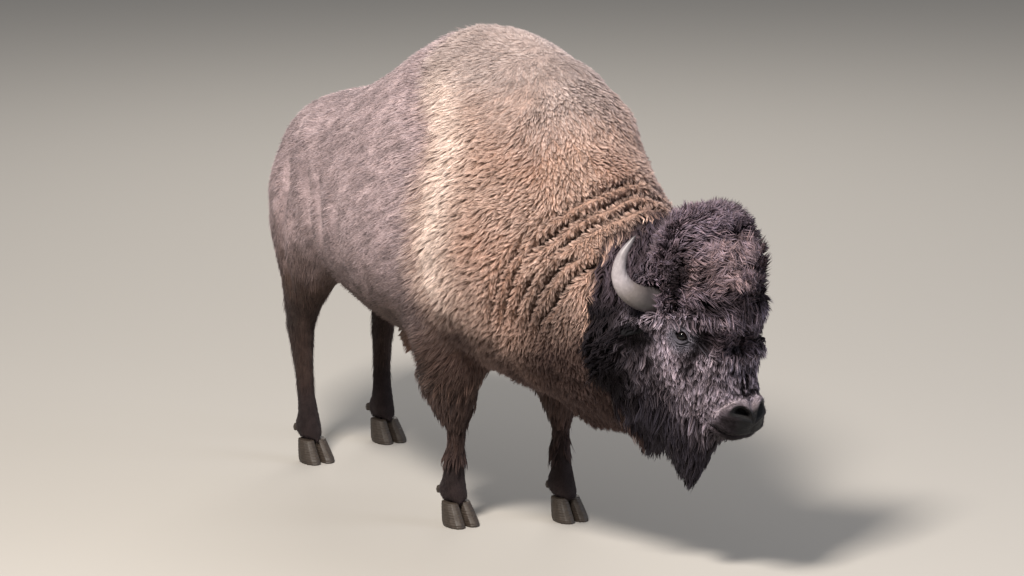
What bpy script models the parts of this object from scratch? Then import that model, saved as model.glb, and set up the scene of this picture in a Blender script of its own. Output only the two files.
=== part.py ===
"""An American bison bull at life size, standing square with its head low and turned to its left.

Metres, +Z up. The bison faces -Y, so +X is its left. The origin is on the floor, under the middle
of the model. The solids have the outline of the coat. The body is lofted, melted into one skin and
then parted with thin saw cuts into the pieces a person would name.
"""

from math import cos, pi, radians, sin

import bmesh
import bpy
from mathutils import Matrix, Vector

# Driving sizes, in metres. Points are given as (side, ahead, up): side is to the left of the spine,
# ahead is from between the front feet towards the head, and up is from the floor. The neck bends
# them into place.
EYE_AHEAD, EYE_HEIGHT = 1.11, 0.90
EYE_APART = 0.316
EYE_RADIUS = 0.0235
FACE_PITCH = radians(58)  # of the face below level
NECK_TURN = radians(15)  # of the head to the left
BEND_START, BEND_END = 0.10, 0.72  # ahead, where the neck starts and stops turning
FRONT_FOOT_SIDE, HIND_FOOT_SIDE = 0.185, 0.190
FRONT_STEP, HIND_STEP = 0.07, 0.07  # each foot is this far before or behind the middle of its pair
HIND_FEET_AHEAD = -1.230

SAW = 0.0006  # room round an inlaid piece, and about twice the width of a saw cut
TINY = 0.00002  # points closer than this are made one
SKIN_VOXEL = 0.016
BODY_TRIANGLES = 3200

RIGHT, LEFT = -1, 1


def bend(ahead):
    """The middle of the neck at this distance ahead, and how far it has turned."""
    turn_radius = (BEND_END - BEND_START) / NECK_TURN
    along = min(max(ahead - BEND_START, 0), BEND_END - BEND_START)
    turn = along / turn_radius
    side = turn_radius * (1 - cos(turn))
    front = min(ahead, BEND_START) + turn_radius * sin(turn)
    past = max(ahead - BEND_END, 0)
    return side + past * sin(turn), front + past * cos(turn), turn


def place(side, ahead, up):
    middle, front, turn = bend(ahead)
    return Vector((middle + side * cos(turn), -(front - side * sin(turn)), up))


def place_on_head(side, along, out):
    """A point of the head: along runs from between the eyes to the muzzle, out from the forehead."""
    ahead = EYE_AHEAD + along * cos(FACE_PITCH) + out * sin(FACE_PITCH)
    up = EYE_HEIGHT - along * sin(FACE_PITCH) + out * cos(FACE_PITCH)
    return place(side, ahead, up)


def ease(table, count):
    """The table's rows, joined by a smooth curve through them and read at evenly spaced places."""
    rows = []
    spans = len(table) - 1
    for step in range(count):
        place_in = step * spans / (count - 1)
        i = min(int(place_in), spans - 1)
        t = place_in - i
        before, start, end, after = (table[min(max(i + k, 0), spans)] for k in (-1, 0, 1, 2))
        row = []
        for p0, p1, p2, p3 in zip(before, start, end, after):
            slope_in, slope_out = (p2 - p0) / 2, (p3 - p1) / 2
            row.append(
                p1 * (2 * t**3 - 3 * t**2 + 1)
                + slope_in * (t**3 - 2 * t**2 + t)
                + p2 * (3 * t**2 - 2 * t**3)
                + slope_out * (t**3 - t**2)
            )
        rows.append(row)
    return rows


def oval(sides, half_width, above, below, crown=2.0, keel=2.0):
    """Points (across, up) round a section that is fuller where its powers are over 2."""
    found = []
    for i in range(sides):
        angle = 2 * pi * i / sides
        c, s = cos(angle), sin(angle)
        power, height = (crown, above) if s > 0 else (keel, below)
        across = half_width * abs(c) ** (2 / power) * (1 if c > 0 else -1)
        found.append((across, height * abs(s) ** (2 / power) * (1 if s > 0 else -1)))
    return found


def solid(name, rings):
    """A closed mesh through rings of points, with a flat cap at each end."""
    shape = bmesh.new()
    loops = [[shape.verts.new(p) for p in ring] for ring in rings]
    for first, second in zip(loops, loops[1:]):
        for i, here in enumerate(first):
            j = (i + 1) % len(first)
            shape.faces.new((here, first[j], second[j], second[i]))
    shape.faces.new(loops[0][::-1])
    shape.faces.new(loops[-1])
    bmesh.ops.recalc_face_normals(shape, faces=shape.faces)
    bmesh.ops.triangulate(shape, faces=shape.faces)
    mesh = bpy.data.meshes.new(name)
    shape.to_mesh(mesh)
    shape.free()
    obj = bpy.data.objects.new(name, mesh)
    bpy.context.scene.collection.objects.link(obj)
    if sum(f.normal.dot(f.center) * f.area for f in mesh.polygons) < 0:
        mesh.flip_normals()
    return obj


def egg(name, centre, radii, point=place, segments=24, rings=14):
    """An ellipsoid, set in place by the given point function."""
    rows = []
    for i in range(1, rings):
        polar = pi * i / rings
        spread = sin(polar)
        rows.append(
            [
                point(
                    centre[0] + radii[0] * spread * cos(2 * pi * k / segments),
                    centre[1] + radii[1] * spread * sin(2 * pi * k / segments),
                    centre[2] + radii[2] * cos(polar),
                )
                for k in range(segments)
            ]
        )
    return solid(name, rows)


def tube(name, stations, point, sides, count):
    """A tapered, bent bar. Each station is its middle, in the point function's terms, and its radius."""
    rows = ease(stations, count)
    middles = [point(*row[:3]) for row in rows]
    rings = []
    across = None
    for i, (middle, row) in enumerate(zip(middles, rows)):
        heading = (middles[min(i + 1, count - 1)] - middles[max(i - 1, 0)]).normalized()
        across = across or heading.orthogonal()
        across = (across - heading * across.dot(heading)).normalized()
        other = heading.cross(across)
        rings.append(
            [
                middle + row[3] * (cos(2 * pi * k / sides) * across + sin(2 * pi * k / sides) * other)
                for k in range(sides)
            ]
        )
    return solid(name, rings)


# ---- the body's forms ----

# ahead, top, bottom, half width, height of the widest place, power of the crown and of the keel
TRUNK = [
    (-1.460, 1.165, 0.980, 0.070, 1.080, 2.0, 2.0),
    (-1.420, 1.265, 0.870, 0.165, 1.075, 2.1, 2.0),
    (-1.305, 1.350, 0.765, 0.265, 1.060, 2.2, 2.0),
    (-1.120, 1.405, 0.705, 0.325, 1.050, 2.2, 2.0),
    (-0.895, 1.465, 0.655, 0.370, 1.020, 2.1, 2.0),
    (-0.660, 1.575, 0.605, 0.405, 1.000, 2.0, 2.0),
    (-0.425, 1.700, 0.575, 0.425, 1.000, 2.0, 2.0),
    (-0.185, 1.780, 0.565, 0.435, 1.010, 2.0, 2.0),
    (0.055, 1.785, 0.560, 0.435, 1.010, 1.9, 1.9),
    (0.270, 1.735, 0.545, 0.420, 0.990, 1.9, 1.8),
    (0.465, 1.635, 0.510, 0.385, 0.950, 1.9, 1.7),
    (0.640, 1.485, 0.480, 0.335, 0.920, 1.9, 1.7),
    (0.805, 1.310, 0.480, 0.285, 0.890, 2.0, 1.8),
    (0.955, 1.160, 0.560, 0.235, 0.880, 2.0, 2.0),
]

# along the face, out to the brow side, out to the jaw side, half width, where it is widest
HEAD = [
    (-0.310, 0.020, -0.160, 0.120, -0.070),
    (-0.240, 0.080, -0.280, 0.200, -0.070),
    (-0.140, 0.110, -0.345, 0.235, -0.070),
    (-0.050, 0.120, -0.350, 0.230, -0.060),
    (0.040, 0.110, -0.325, 0.206, -0.050),
    (0.120, 0.076, -0.285, 0.164, -0.050),
    (0.200, 0.046, -0.238, 0.132, -0.050),
    (0.270, 0.034, -0.196, 0.113, -0.052),
    (0.330, 0.024, -0.166, 0.103, -0.055),
    (0.364, 0.002, -0.142, 0.086, -0.058),
    (0.380, -0.026, -0.116, 0.058, -0.065),
]

# height, side, ahead, half width, half length; side and ahead are from the hoof
FORELEG = [
    (1.050, 0.075, -0.020, 0.120, 0.190),
    (0.880, 0.060, -0.030, 0.130, 0.175),
    (0.740, 0.040, -0.040, 0.115, 0.145),
    (0.600, 0.025, -0.040, 0.092, 0.117),
    (0.490, 0.012, -0.030, 0.075, 0.090),
    (0.420, 0.006, -0.022, 0.068, 0.075),
    (0.350, 0.003, -0.026, 0.057, 0.060),
    (0.250, 0.000, -0.034, 0.048, 0.053),
    (0.175, 0.000, -0.040, 0.051, 0.056),
    (0.130, 0.000, -0.036, 0.057, 0.060),
    (0.090, 0.000, -0.024, 0.061, 0.064),
    (0.060, 0.000, -0.012, 0.060, 0.066),
]
CHAPS = [  # the long hair that hangs round the forearm
    (0.950, 0.065, -0.030, 0.110, 0.160),
    (0.780, 0.050, -0.045, 0.140, 0.190),
    (0.640, 0.035, -0.050, 0.132, 0.180),
    (0.520, 0.020, -0.045, 0.114, 0.150),
    (0.430, 0.010, -0.042, 0.084, 0.102),
]
HIND_LEG = [
    (1.260, -0.030, 0.120, 0.080, 0.120),
    (1.120, 0.010, 0.090, 0.118, 0.225),
    (0.960, 0.030, 0.105, 0.128, 0.250),
    (0.820, 0.032, 0.110, 0.115, 0.220),
    (0.690, 0.024, 0.070, 0.092, 0.162),
    (0.590, 0.014, 0.000, 0.070, 0.118),
    (0.510, 0.006, -0.045, 0.059, 0.090),
    (0.430, 0.002, -0.054, 0.052, 0.070),
    (0.330, 0.000, -0.052, 0.046, 0.056),
    (0.220, 0.000, -0.044, 0.047, 0.054),
    (0.140, 0.000, -0.036, 0.056, 0.061),
    (0.090, 0.000, -0.024, 0.060, 0.064),
    (0.060, 0.000, -0.012, 0.059, 0.065),
]
BEARD = [  # height, side, ahead, half width, half length
    (0.740, 0.0, 1.010, 0.130, 0.190),
    (0.620, 0.0, 1.000, 0.120, 0.180),
    (0.510, 0.0, 0.995, 0.095, 0.140),
    (0.410, 0.0, 1.005, 0.060, 0.085),
    (0.330, 0.0, 1.010, 0.024, 0.032),
]
MANE = [  # the throat's long hair, from the beard back to the brisket
    (0.820, 0.0, 0.715, 0.230, 0.325),
    (0.680, 0.0, 0.700, 0.205, 0.325),
    (0.560, 0.0, 0.685, 0.150, 0.295),
    (0.480, 0.0, 0.660, 0.085, 0.215),
    (0.435, 0.0, 0.650, 0.030, 0.085),
]
SHEATH = [  # the tuft under the belly
    (0.680, 0.0, -0.740, 0.080, 0.140),
    (0.600, 0.0, -0.730, 0.055, 0.100),
    (0.530, 0.0, -0.715, 0.035, 0.060),
    (0.480, 0.0, -0.705, 0.015, 0.022),
]
# The crown of hair between the horns, and the hair under it that hangs over the forehead.
MOP = ((0.0, -0.215, 0.105), (0.272, 0.190, 0.175))
FORELOCK = ((0.0, -0.050, 0.070), (0.205, 0.175, 0.125))

# The middle and the radii of the hollow round each eye: to the side, along the face, out from it.
EYE_HOLLOW = ((0.222, 0.000, 0.004), (0.066, 0.056, 0.042))

# side, along the face, out from it, radius
HORN = [
    (0.095, -0.145, -0.022, 0.0470),
    (0.170, -0.150, -0.030, 0.0470),
    (0.232, -0.172, -0.040, 0.0425),
    (0.282, -0.215, -0.040, 0.0355),
    (0.303, -0.268, -0.022, 0.0270),
    (0.292, -0.318, 0.014, 0.0175),
    (0.262, -0.352, 0.054, 0.0080),
    (0.250, -0.362, 0.068, 0.0025),
]
# side, along the face, out from it, half width, half thickness
EAR = [
    (0.150, -0.095, -0.070, 0.030, 0.022),
    (0.200, -0.100, -0.090, 0.040, 0.024),
    (0.255, -0.098, -0.118, 0.048, 0.022),
    (0.305, -0.090, -0.145, 0.040, 0.018),
    (0.345, -0.080, -0.165, 0.014, 0.010),
]
TAIL = [
    (0.0, -1.360, 1.210, 0.045),
    (0.0, -1.440, 1.205, 0.042),
    (0.0, -1.500, 1.145, 0.034),
    (0.0, -1.520, 1.055, 0.029),
    (0.0, -1.520, 0.955, 0.026),
    (0.0, -1.515, 0.880, 0.030),
    (0.0, -1.510, 0.810, 0.044),
    (0.0, -1.505, 0.730, 0.040),
    (0.0, -1.500, 0.660, 0.012),
]
SOLE = [(0.034, 0.059), (0.0345, 0.061), (0.031, 0.050), (0.027, 0.040)]  # half width and length
SOLE_HEIGHTS = (0.0, 0.014, 0.050, 0.082)
CLAW_GAP = 0.007


def lofted_trunk():
    rings = []
    for ahead, top, bottom, half, widest, crown, keel in ease(TRUNK, 34):
        ring = oval(32, half, top - widest, widest - bottom, crown, keel)
        rings.append([place(side, ahead, widest + up) for side, up in ring])
    return solid("trunk_form", rings)


def lofted_head():
    rings = []
    for along, brow, jaw, half, widest in ease(HEAD, 26):
        ring = oval(28, half, brow - widest, widest - jaw, 2.2, 1.9)
        rings.append([place_on_head(side, along, widest + out) for side, out in ring])
    return solid("head_form", rings)


def column(name, table, at_side=0.0, at_ahead=0.0, mirror=1, count=22):
    """A form made of level ovals, such as a leg."""
    rings = []
    for up, side, ahead, half_side, half_ahead in ease(table, count):
        rings.append(
            [
                place(mirror * (at_side + side) + a, at_ahead + ahead + b, up)
                for a, b in oval(20, half_side, half_ahead, half_ahead)
            ]
        )
    return solid(name, rings)


def foot_places():
    """Name, side, ahead and which way is outwards of each foot."""
    return [
        ("front_left", FRONT_FOOT_SIDE, FRONT_STEP, LEFT),
        ("front_right", FRONT_FOOT_SIDE, -FRONT_STEP, RIGHT),
        ("hind_left", HIND_FOOT_SIDE, HIND_FEET_AHEAD - HIND_STEP, LEFT),
        ("hind_right", HIND_FOOT_SIDE, HIND_FEET_AHEAD + HIND_STEP, RIGHT),
    ]


def leg_forms():
    forms = []
    for name, side, ahead, way in foot_places():
        front = name.startswith("front")
        step = ahead if front else ahead - HIND_FEET_AHEAD
        for table in [FORELEG, CHAPS] if front else [HIND_LEG]:
            # The foot steps, but the hip and the shoulder stay where they are.
            rows = [
                (up, s, a - step * min(1, max(0, (up - 0.10) / 0.75)), half_width, half_length)
                for up, s, a, half_width, half_length in table
            ]
            forms.append(column(name + "_form", rows, side, ahead, way, 2 * len(rows) + 4))
    return forms


def flat_blade(name, stations, way):
    """An ear: a leaf whose sections are flat ovals across its length."""
    rings = []
    for side, along, out, half_width, half_thick in ease(stations, 7):
        rings.append(
            [
                place_on_head(way * (side + b * 0.35), along + a * 0.8, out + a * 0.55 + b)
                for a, b in oval(8, half_width, half_thick, half_thick)
            ]
        )
    return solid(name, rings)


def claw(name, side, ahead, inward):
    """One half of a cloven hoof, flat below and flat on the side that faces its twin."""
    rings = []
    for (half_width, half_length), up in zip(SOLE, SOLE_HEIGHTS):
        back = up * 0.52  # the wall leans back from the toe
        rings.append(
            [
                place(
                    side + inward * (CLAW_GAP / 2 + max(a + half_width * 0.72, 0)),
                    ahead + 0.022 - back + b,
                    up,
                )
                for a, b in oval(12, half_width, half_length, half_length * 0.85, 2.0, 2.5)
            ]
        )
    return solid(name, rings)


def dew_claw(name, side, ahead):
    return egg(name, (side, ahead, 0.118), (0.014, 0.020, 0.022), segments=7, rings=4)


def eye_hollows():
    """The hollows in the hair in which the eyes lie."""
    side, along, out = EYE_HOLLOW[0]
    centres = [(way * side, along, out) for way in (LEFT, RIGHT)]
    return [egg("hollow", centre, EYE_HOLLOW[1], place_on_head) for centre in centres]


# ---- melting, swelling and sawing ----


def bake(obj):
    """Keeps what the object's modifiers make as its own mesh."""
    graph = bpy.context.evaluated_depsgraph_get()
    made = bpy.data.meshes.new_from_object(obj.evaluated_get(graph))
    obj.modifiers.clear()
    obj.data = made
    return obj


def copy_of(obj, name):
    twin = obj.copy()
    twin.data = obj.data.copy()
    twin.name = name
    bpy.context.scene.collection.objects.link(twin)
    return twin


def join(objects, name):
    with bpy.context.temp_override(
        active_object=objects[0], object=objects[0], selected_editable_objects=objects
    ):
        bpy.ops.object.join()
    objects[0].name = name
    return objects[0]


def boolean(obj, other, operation):
    """Cuts or keeps what is inside the other object, then clears away any slivers."""
    cut = obj.modifiers.new(operation.lower(), "BOOLEAN")
    cut.operation = operation
    cut.object = other
    bake(obj)
    shape = bmesh.new()
    shape.from_mesh(obj.data)
    bmesh.ops.remove_doubles(shape, verts=shape.verts, dist=TINY)
    bmesh.ops.dissolve_degenerate(shape, edges=shape.edges, dist=TINY)
    bmesh.ops.triangulate(shape, faces=shape.faces)
    shape.to_mesh(obj.data)
    shape.free()


def melt(forms, hollows):
    """One skin over all the forms, dug by the hollows, smoothed, and with few enough triangles."""
    body = join(forms, "body")
    remesh = body.modifiers.new("one_skin", "REMESH")
    remesh.mode = "VOXEL"
    remesh.voxel_size = SKIN_VOXEL
    bake(body)
    for hollow in hollows:
        boolean(body, hollow, "DIFFERENCE")
        bpy.data.objects.remove(hollow)
    smooth = body.modifiers.new("soft_joins", "SMOOTH")
    smooth.factor = 0.6
    smooth.iterations = 9
    bake(body)
    thin = body.modifiers.new("fewer", "DECIMATE")
    thin.ratio = BODY_TRIANGLES / sum(len(f.vertices) - 2 for f in body.data.polygons)
    thin.use_collapse_triangulate = True
    return bake(body)


def swollen(obj):
    """A copy that stands a saw cut's width outside the piece, to make room for it."""
    cutter = copy_of(obj, obj.name + "_room")
    swell = cutter.modifiers.new("swell", "DISPLACE")
    swell.strength = SAW
    swell.mid_level = 0
    return bake(cutter)


def make_room(host, pieces):
    """Cuts the pieces' own room out of the host, so that they sit in it without touching."""
    room = join([swollen(piece) for piece in pieces], "room")
    boolean(host, room, "DIFFERENCE")
    bpy.data.objects.remove(room)


def block(corners):
    """A box through eight points: four of one end, then four of the other."""
    return solid("saw", [corners[:4], corners[4:]])


def across_body(outline):
    """A block right across the body, from four (ahead, up) points of its side view."""
    return block([place(side, *p) for side in (-0.6, 0.6) for p in outline])


def across_head(outline):
    """A block right across the head, from four (along, out) points of its side view."""
    return block([place_on_head(side, *p) for side in (-0.5, 0.5) for p in outline])


def saw_off(rest, name, saw):
    """Parts the piece inside the saw block from the rest, and leaves a saw cut between them."""
    piece = copy_of(rest, name)
    boolean(piece, saw, "INTERSECT")
    kerf = swollen(saw)
    boolean(rest, kerf, "DIFFERENCE")
    bpy.data.objects.remove(saw)
    bpy.data.objects.remove(kerf)
    return piece


MATERIALS = {
    "cape_wool": ((0.30, 0.20, 0.135), 0.9),
    "short_coat": ((0.17, 0.115, 0.09), 0.85),
    "dark_wool": ((0.045, 0.030, 0.026), 0.9),
    "horn": ((0.22, 0.20, 0.19), 0.45),
    "hoof": ((0.03, 0.027, 0.026), 0.5),
    "eye": ((0.012, 0.008, 0.007), 0.1),
}


def paint(obj, name):
    """Gives the piece its material, and rounds its shading except at the saw cuts."""
    if name not in bpy.data.materials:
        colour, roughness = MATERIALS[name]
        made = bpy.data.materials.new(name)
        made.use_nodes = True
        shader = made.node_tree.nodes["Principled BSDF"]
        shader.inputs["Base Color"].default_value = (*colour, 1)
        shader.inputs["Roughness"].default_value = roughness
        shader.inputs["Metallic"].default_value = 0.0
    obj.data.materials.clear()
    obj.data.materials.append(bpy.data.materials[name])
    obj.data.shade_smooth()
    obj.data.set_sharp_from_angle(angle=radians(50))


def hooves_and_claws():
    pieces = []
    for name, side, ahead, way in foot_places():
        for label, inward in (("inner", -way), ("outer", way)):
            pieces.append(claw(f"hoof_{name}_{label}", way * side, ahead, inward))
            pieces.append(
                dew_claw(f"dewclaw_{name}_{label}", way * side + inward * 0.026, ahead - 0.092)
            )
    return pieces


def head_pieces():
    pieces = []
    for label, way in (("left", LEFT), ("right", RIGHT)):
        stations = [(way * side, along, out, radius) for side, along, out, radius in HORN]
        pieces.append(tube("horn_" + label, stations, place_on_head, 10, 14))
        pieces.append(flat_blade("ear_" + label, EAR, way))
        centre = (way * EYE_APART / 2, 0, 0)
        pieces.append(egg("eye_" + label, centre, [EYE_RADIUS] * 3, place_on_head, 12, 7))
    return pieces


def leg_saw(front, way):
    """A block round one leg. Its top rises outwards from the groin or the armpit, under the belly."""
    if front:
        inner_height, outer_height, back, ahead = 0.515, 0.735, -0.34, 0.21
    else:
        inner_height, outer_height, back, ahead = 0.650, 0.870, -1.85, -0.95
    inner, outer = way * 0.03, way * 0.65
    plan = [(inner, back), (outer, back), (outer, ahead), (inner, ahead)]
    tops = [inner_height, outer_height, outer_height, inner_height]
    floor = [place(side, a, -0.2) for side, a in plan]
    return block(floor + [place(side, a, top) for (side, a), top in zip(plan, tops)])


# Each piece, what it is sawn from and the outline of the saw block in side view. An outline is in
# (ahead, up), or for the pieces of the face in (along, out).
BODY_CUTS = [
    ("tail", "body", [(-2.0, 0.4), (-1.468, 0.4), (-1.468, 1.6), (-2.0, 1.6)]),
    ("tail_tuft", "tail", [(-2.0, 0.4), (-1.0, 0.4), (-1.0, 0.905), (-2.0, 0.905)]),
    ("head", "body", [(0.865, -0.2), (2.0, -0.2), (2.0, 2.2), (0.865, 2.2)]),
    ("beard", "head", [(0.69, -0.2), (2.0, -0.2), (2.0, 0.06), (0.69, 0.755)]),
    ("neck", "body", [(0.45, -0.2), (2.0, -0.2), (2.0, 2.2), (0.56, 2.2)]),
    ("hump_and_shoulders", "body", [(-0.50, -0.2), (2.0, -0.2), (2.0, 2.2), (-0.48, 2.2)]),
    ("rump", "body", [(-2.0, -0.2), (-1.01, -0.2), (-1.08, 2.2), (-2.0, 2.2)]),
]
FACE_CUTS = [
    ("crown_hair", "head", [(-0.8, 0.05), (0.085, 0.05), (0.30, 0.45), (-0.8, 0.45)]),
    ("muzzle", "head", [(0.235, -0.6), (0.8, -0.6), (0.8, 0.5), (0.235, 0.5)]),
]


def part_body(body):
    """The melted body, sawn into the pieces a person would name. What is left is the barrel."""
    pieces = {"body": body}
    for name, _, _, way in foot_places():
        name = "leg_" + name
        pieces[name] = saw_off(body, name, leg_saw(name.startswith("leg_front"), way))
    for cuts, across in ((BODY_CUTS, across_body), (FACE_CUTS, across_head)):
        for name, host, outline in cuts:
            pieces[name] = saw_off(pieces[host], name, across(outline))
    body.name = "barrel"
    return list(pieces.values())


def stand_on_origin(pieces):
    """Moves the model so that the middle of its box is over the origin. The hooves are at z = 0."""
    corners = [v.co for piece in pieces for v in piece.data.vertices]
    middle = [(min(c[i] for c in corners) + max(c[i] for c in corners)) / 2 for i in (0, 1)]
    for piece in pieces:
        piece.data.transform(Matrix.Translation((-middle[0], -middle[1], 0)))


PAINTS = {
    "neck": "cape_wool",
    "hump": "cape_wool",
    "rump": "short_coat",
    "barrel": "short_coat",
    "horn": "horn",
    "hoof": "hoof",
    "dewclaw": "hoof",
    "eye": "eye",
}


def main():
    for obj in list(bpy.data.objects):
        bpy.data.objects.remove(obj)

    forms = [lofted_trunk(), lofted_head()]
    forms.append(egg("mop_form", *MOP, point=place_on_head))
    forms.append(egg("forelock_form", *FORELOCK, point=place_on_head))
    forms.append(column("beard_form", BEARD))
    forms.append(column("mane_form", MANE))
    forms.append(column("sheath_form", SHEATH))
    forms.append(tube("tail_form", TAIL, place, 12, 26))
    body = melt(forms + leg_forms(), eye_hollows())

    inlays = head_pieces() + hooves_and_claws()
    make_room(body, inlays)
    pieces = part_body(body) + inlays
    stand_on_origin(pieces)
    for piece in pieces:
        paint(piece, PAINTS.get(piece.name.split("_")[0], "dark_wool"))


main()
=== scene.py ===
from math import cos, pi, radians, sin

import bpy
import numpy as np
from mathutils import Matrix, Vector
from mathutils.kdtree import KDTree


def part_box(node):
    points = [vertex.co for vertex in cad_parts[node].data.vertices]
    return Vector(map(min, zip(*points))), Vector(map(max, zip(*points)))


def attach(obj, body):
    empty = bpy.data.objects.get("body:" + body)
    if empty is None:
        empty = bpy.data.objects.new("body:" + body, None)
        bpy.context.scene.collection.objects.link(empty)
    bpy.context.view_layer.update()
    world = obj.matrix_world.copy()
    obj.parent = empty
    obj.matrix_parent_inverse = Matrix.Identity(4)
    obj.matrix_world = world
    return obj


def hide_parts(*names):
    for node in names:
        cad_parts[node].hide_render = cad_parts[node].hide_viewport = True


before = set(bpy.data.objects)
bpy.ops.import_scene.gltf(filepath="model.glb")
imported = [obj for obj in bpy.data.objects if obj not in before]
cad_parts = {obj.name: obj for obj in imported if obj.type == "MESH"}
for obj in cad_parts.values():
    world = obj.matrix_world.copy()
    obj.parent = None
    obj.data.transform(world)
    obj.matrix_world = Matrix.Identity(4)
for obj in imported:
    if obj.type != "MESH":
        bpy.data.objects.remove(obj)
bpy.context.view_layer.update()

# A bison bull as a museum would mount it. Everything is in metres: z up, the animal faces -y.
upward = np.array((0.0, 0.0, 1.0))
midline = -0.019  # x of the trunk's middle


# small tools

def unit(vectors):
    return vectors / np.maximum(np.linalg.norm(vectors, axis=-1, keepdims=True), 1e-9)


def ramp(start, end, values):
    t = np.clip((values - start) / (end - start), 0, 1)
    return t * t * (3 - 2 * t)


def ridge(distance, width):
    # 1 along a line, fading out to either side
    return np.exp(-(distance / width) ** 2)


def mix(first, second, share):
    share = np.asarray(share)
    if np.ndim(first) > share.ndim or np.ndim(second) > share.ndim:
        share = share[..., None]
    return first * (1 - share) + second * share


def blob(spots, centre, radii, core=0.5):
    # 1 inside the core of an egg, fading to 0 at its skin
    reach = np.linalg.norm((spots - np.array(centre)) / np.array(radii), axis=1)
    return 1 - ramp(core, 1, reach)


def lumps(points, size, seed):
    # smooth random values from -1 to 1, in lumps about size across
    spots = points / size
    cell = np.floor(spots).astype(np.int64)
    part = spots - cell
    part = part * part * (3 - 2 * part)
    total = np.zeros(len(points))
    for corner in np.ndindex(2, 2, 2):
        at = cell + corner
        # large odd numbers scramble the cell's place into a value of its own
        code = (at[:, 0] * 73856093) ^ (at[:, 1] * 19349663) ^ (at[:, 2] * 83492791) ^ (seed * 265443576)
        code = ((code ^ (code >> 13)) * 1274126177) & 0x7FFFFFFF
        code = ((code ^ (code >> 15)) * 668265263) & 0x7FFFFFFF
        weight = np.prod(np.where(corner, part, 1 - part), axis=1)
        total += weight * (code / 0x3FFFFFFF - 1)
    return total


def swirl(points, size, seed):
    return np.stack([lumps(points, size, seed + k) for k in (0, 101, 202)], axis=1)


def hexColour(code):
    # sRGB code to linear light
    parts = np.array([int(code[k:k + 2], 16) / 255 for k in (1, 3, 5)])
    return np.where(parts <= 0.04045, parts / 12.92, ((parts + 0.055) / 1.055) ** 2.4)


def chooseOnly(*pieces):
    bpy.ops.object.select_all(action="DESELECT")
    for piece in pieces:
        piece.select_set(True)
    bpy.context.view_layer.objects.active = pieces[0]


def readVectors(items, name):
    values = np.empty(len(items) * 3, np.float32)
    items.foreach_get(name, values)
    return values.reshape(-1, 3).astype(float)


def readPoints(mesh):
    return readVectors(mesh.vertices, "co")


def writePoints(mesh, points):
    mesh.vertices.foreach_set("co", points.astype(np.float32).ravel())
    mesh.update()


def putAttribute(mesh, name, kind, values):
    layer = mesh.attributes.new(name, kind, "POINT")
    key = {"FLOAT": "value", "FLOAT_COLOR": "color"}[kind]
    if kind == "FLOAT_COLOR":
        values = np.concatenate([values, np.ones((len(values), 1))], axis=1)
    layer.data.foreach_set(key, values.astype(np.float32).ravel())


# the head's own axes: side to its left, along down the face, out from the forehead

def middle(node):
    low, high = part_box(node)
    return (np.array(low) + np.array(high)) / 2


leftEye = middle("eye_left")
rightEye = middle("eye_right")
betweenEyes = (leftEye + rightEye) / 2
headLeft = unit(leftEye - rightEye)
headAhead = np.cross(headLeft, upward)
facePitch = radians(58)
headAlong = cos(facePitch) * headAhead - sin(facePitch) * upward
headOut = sin(facePitch) * headAhead + cos(facePitch) * upward
headAxes = np.array([headLeft, headAlong, headOut])
eyeRadius = (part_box("eye_left")[1][2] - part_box("eye_left")[0][2]) / 2


def inHead(points):
    return (points - betweenEyes) @ headAxes.T


def folded(points):
    # in the head's axes, with its right side laid over its left
    spots = inHead(points)
    spots[:, 0] = np.abs(spots[:, 0])
    return spots


def fromHead(spots):
    return betweenEyes + np.asarray(spots, float) @ headAxes


def ahead(points):
    # level distance in front of the eyes
    return (points - betweenEyes) @ headAhead


eyeSpot = inHead(leftEye[None])[0]


# where each kind of coat grows, as weights from 0 to 1 at any points of the body

# how far back the cape reaches, by height
capeEdge = {"low": -0.20, "rise": 0.27, "from": 1.42, "to": 1.74}


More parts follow.
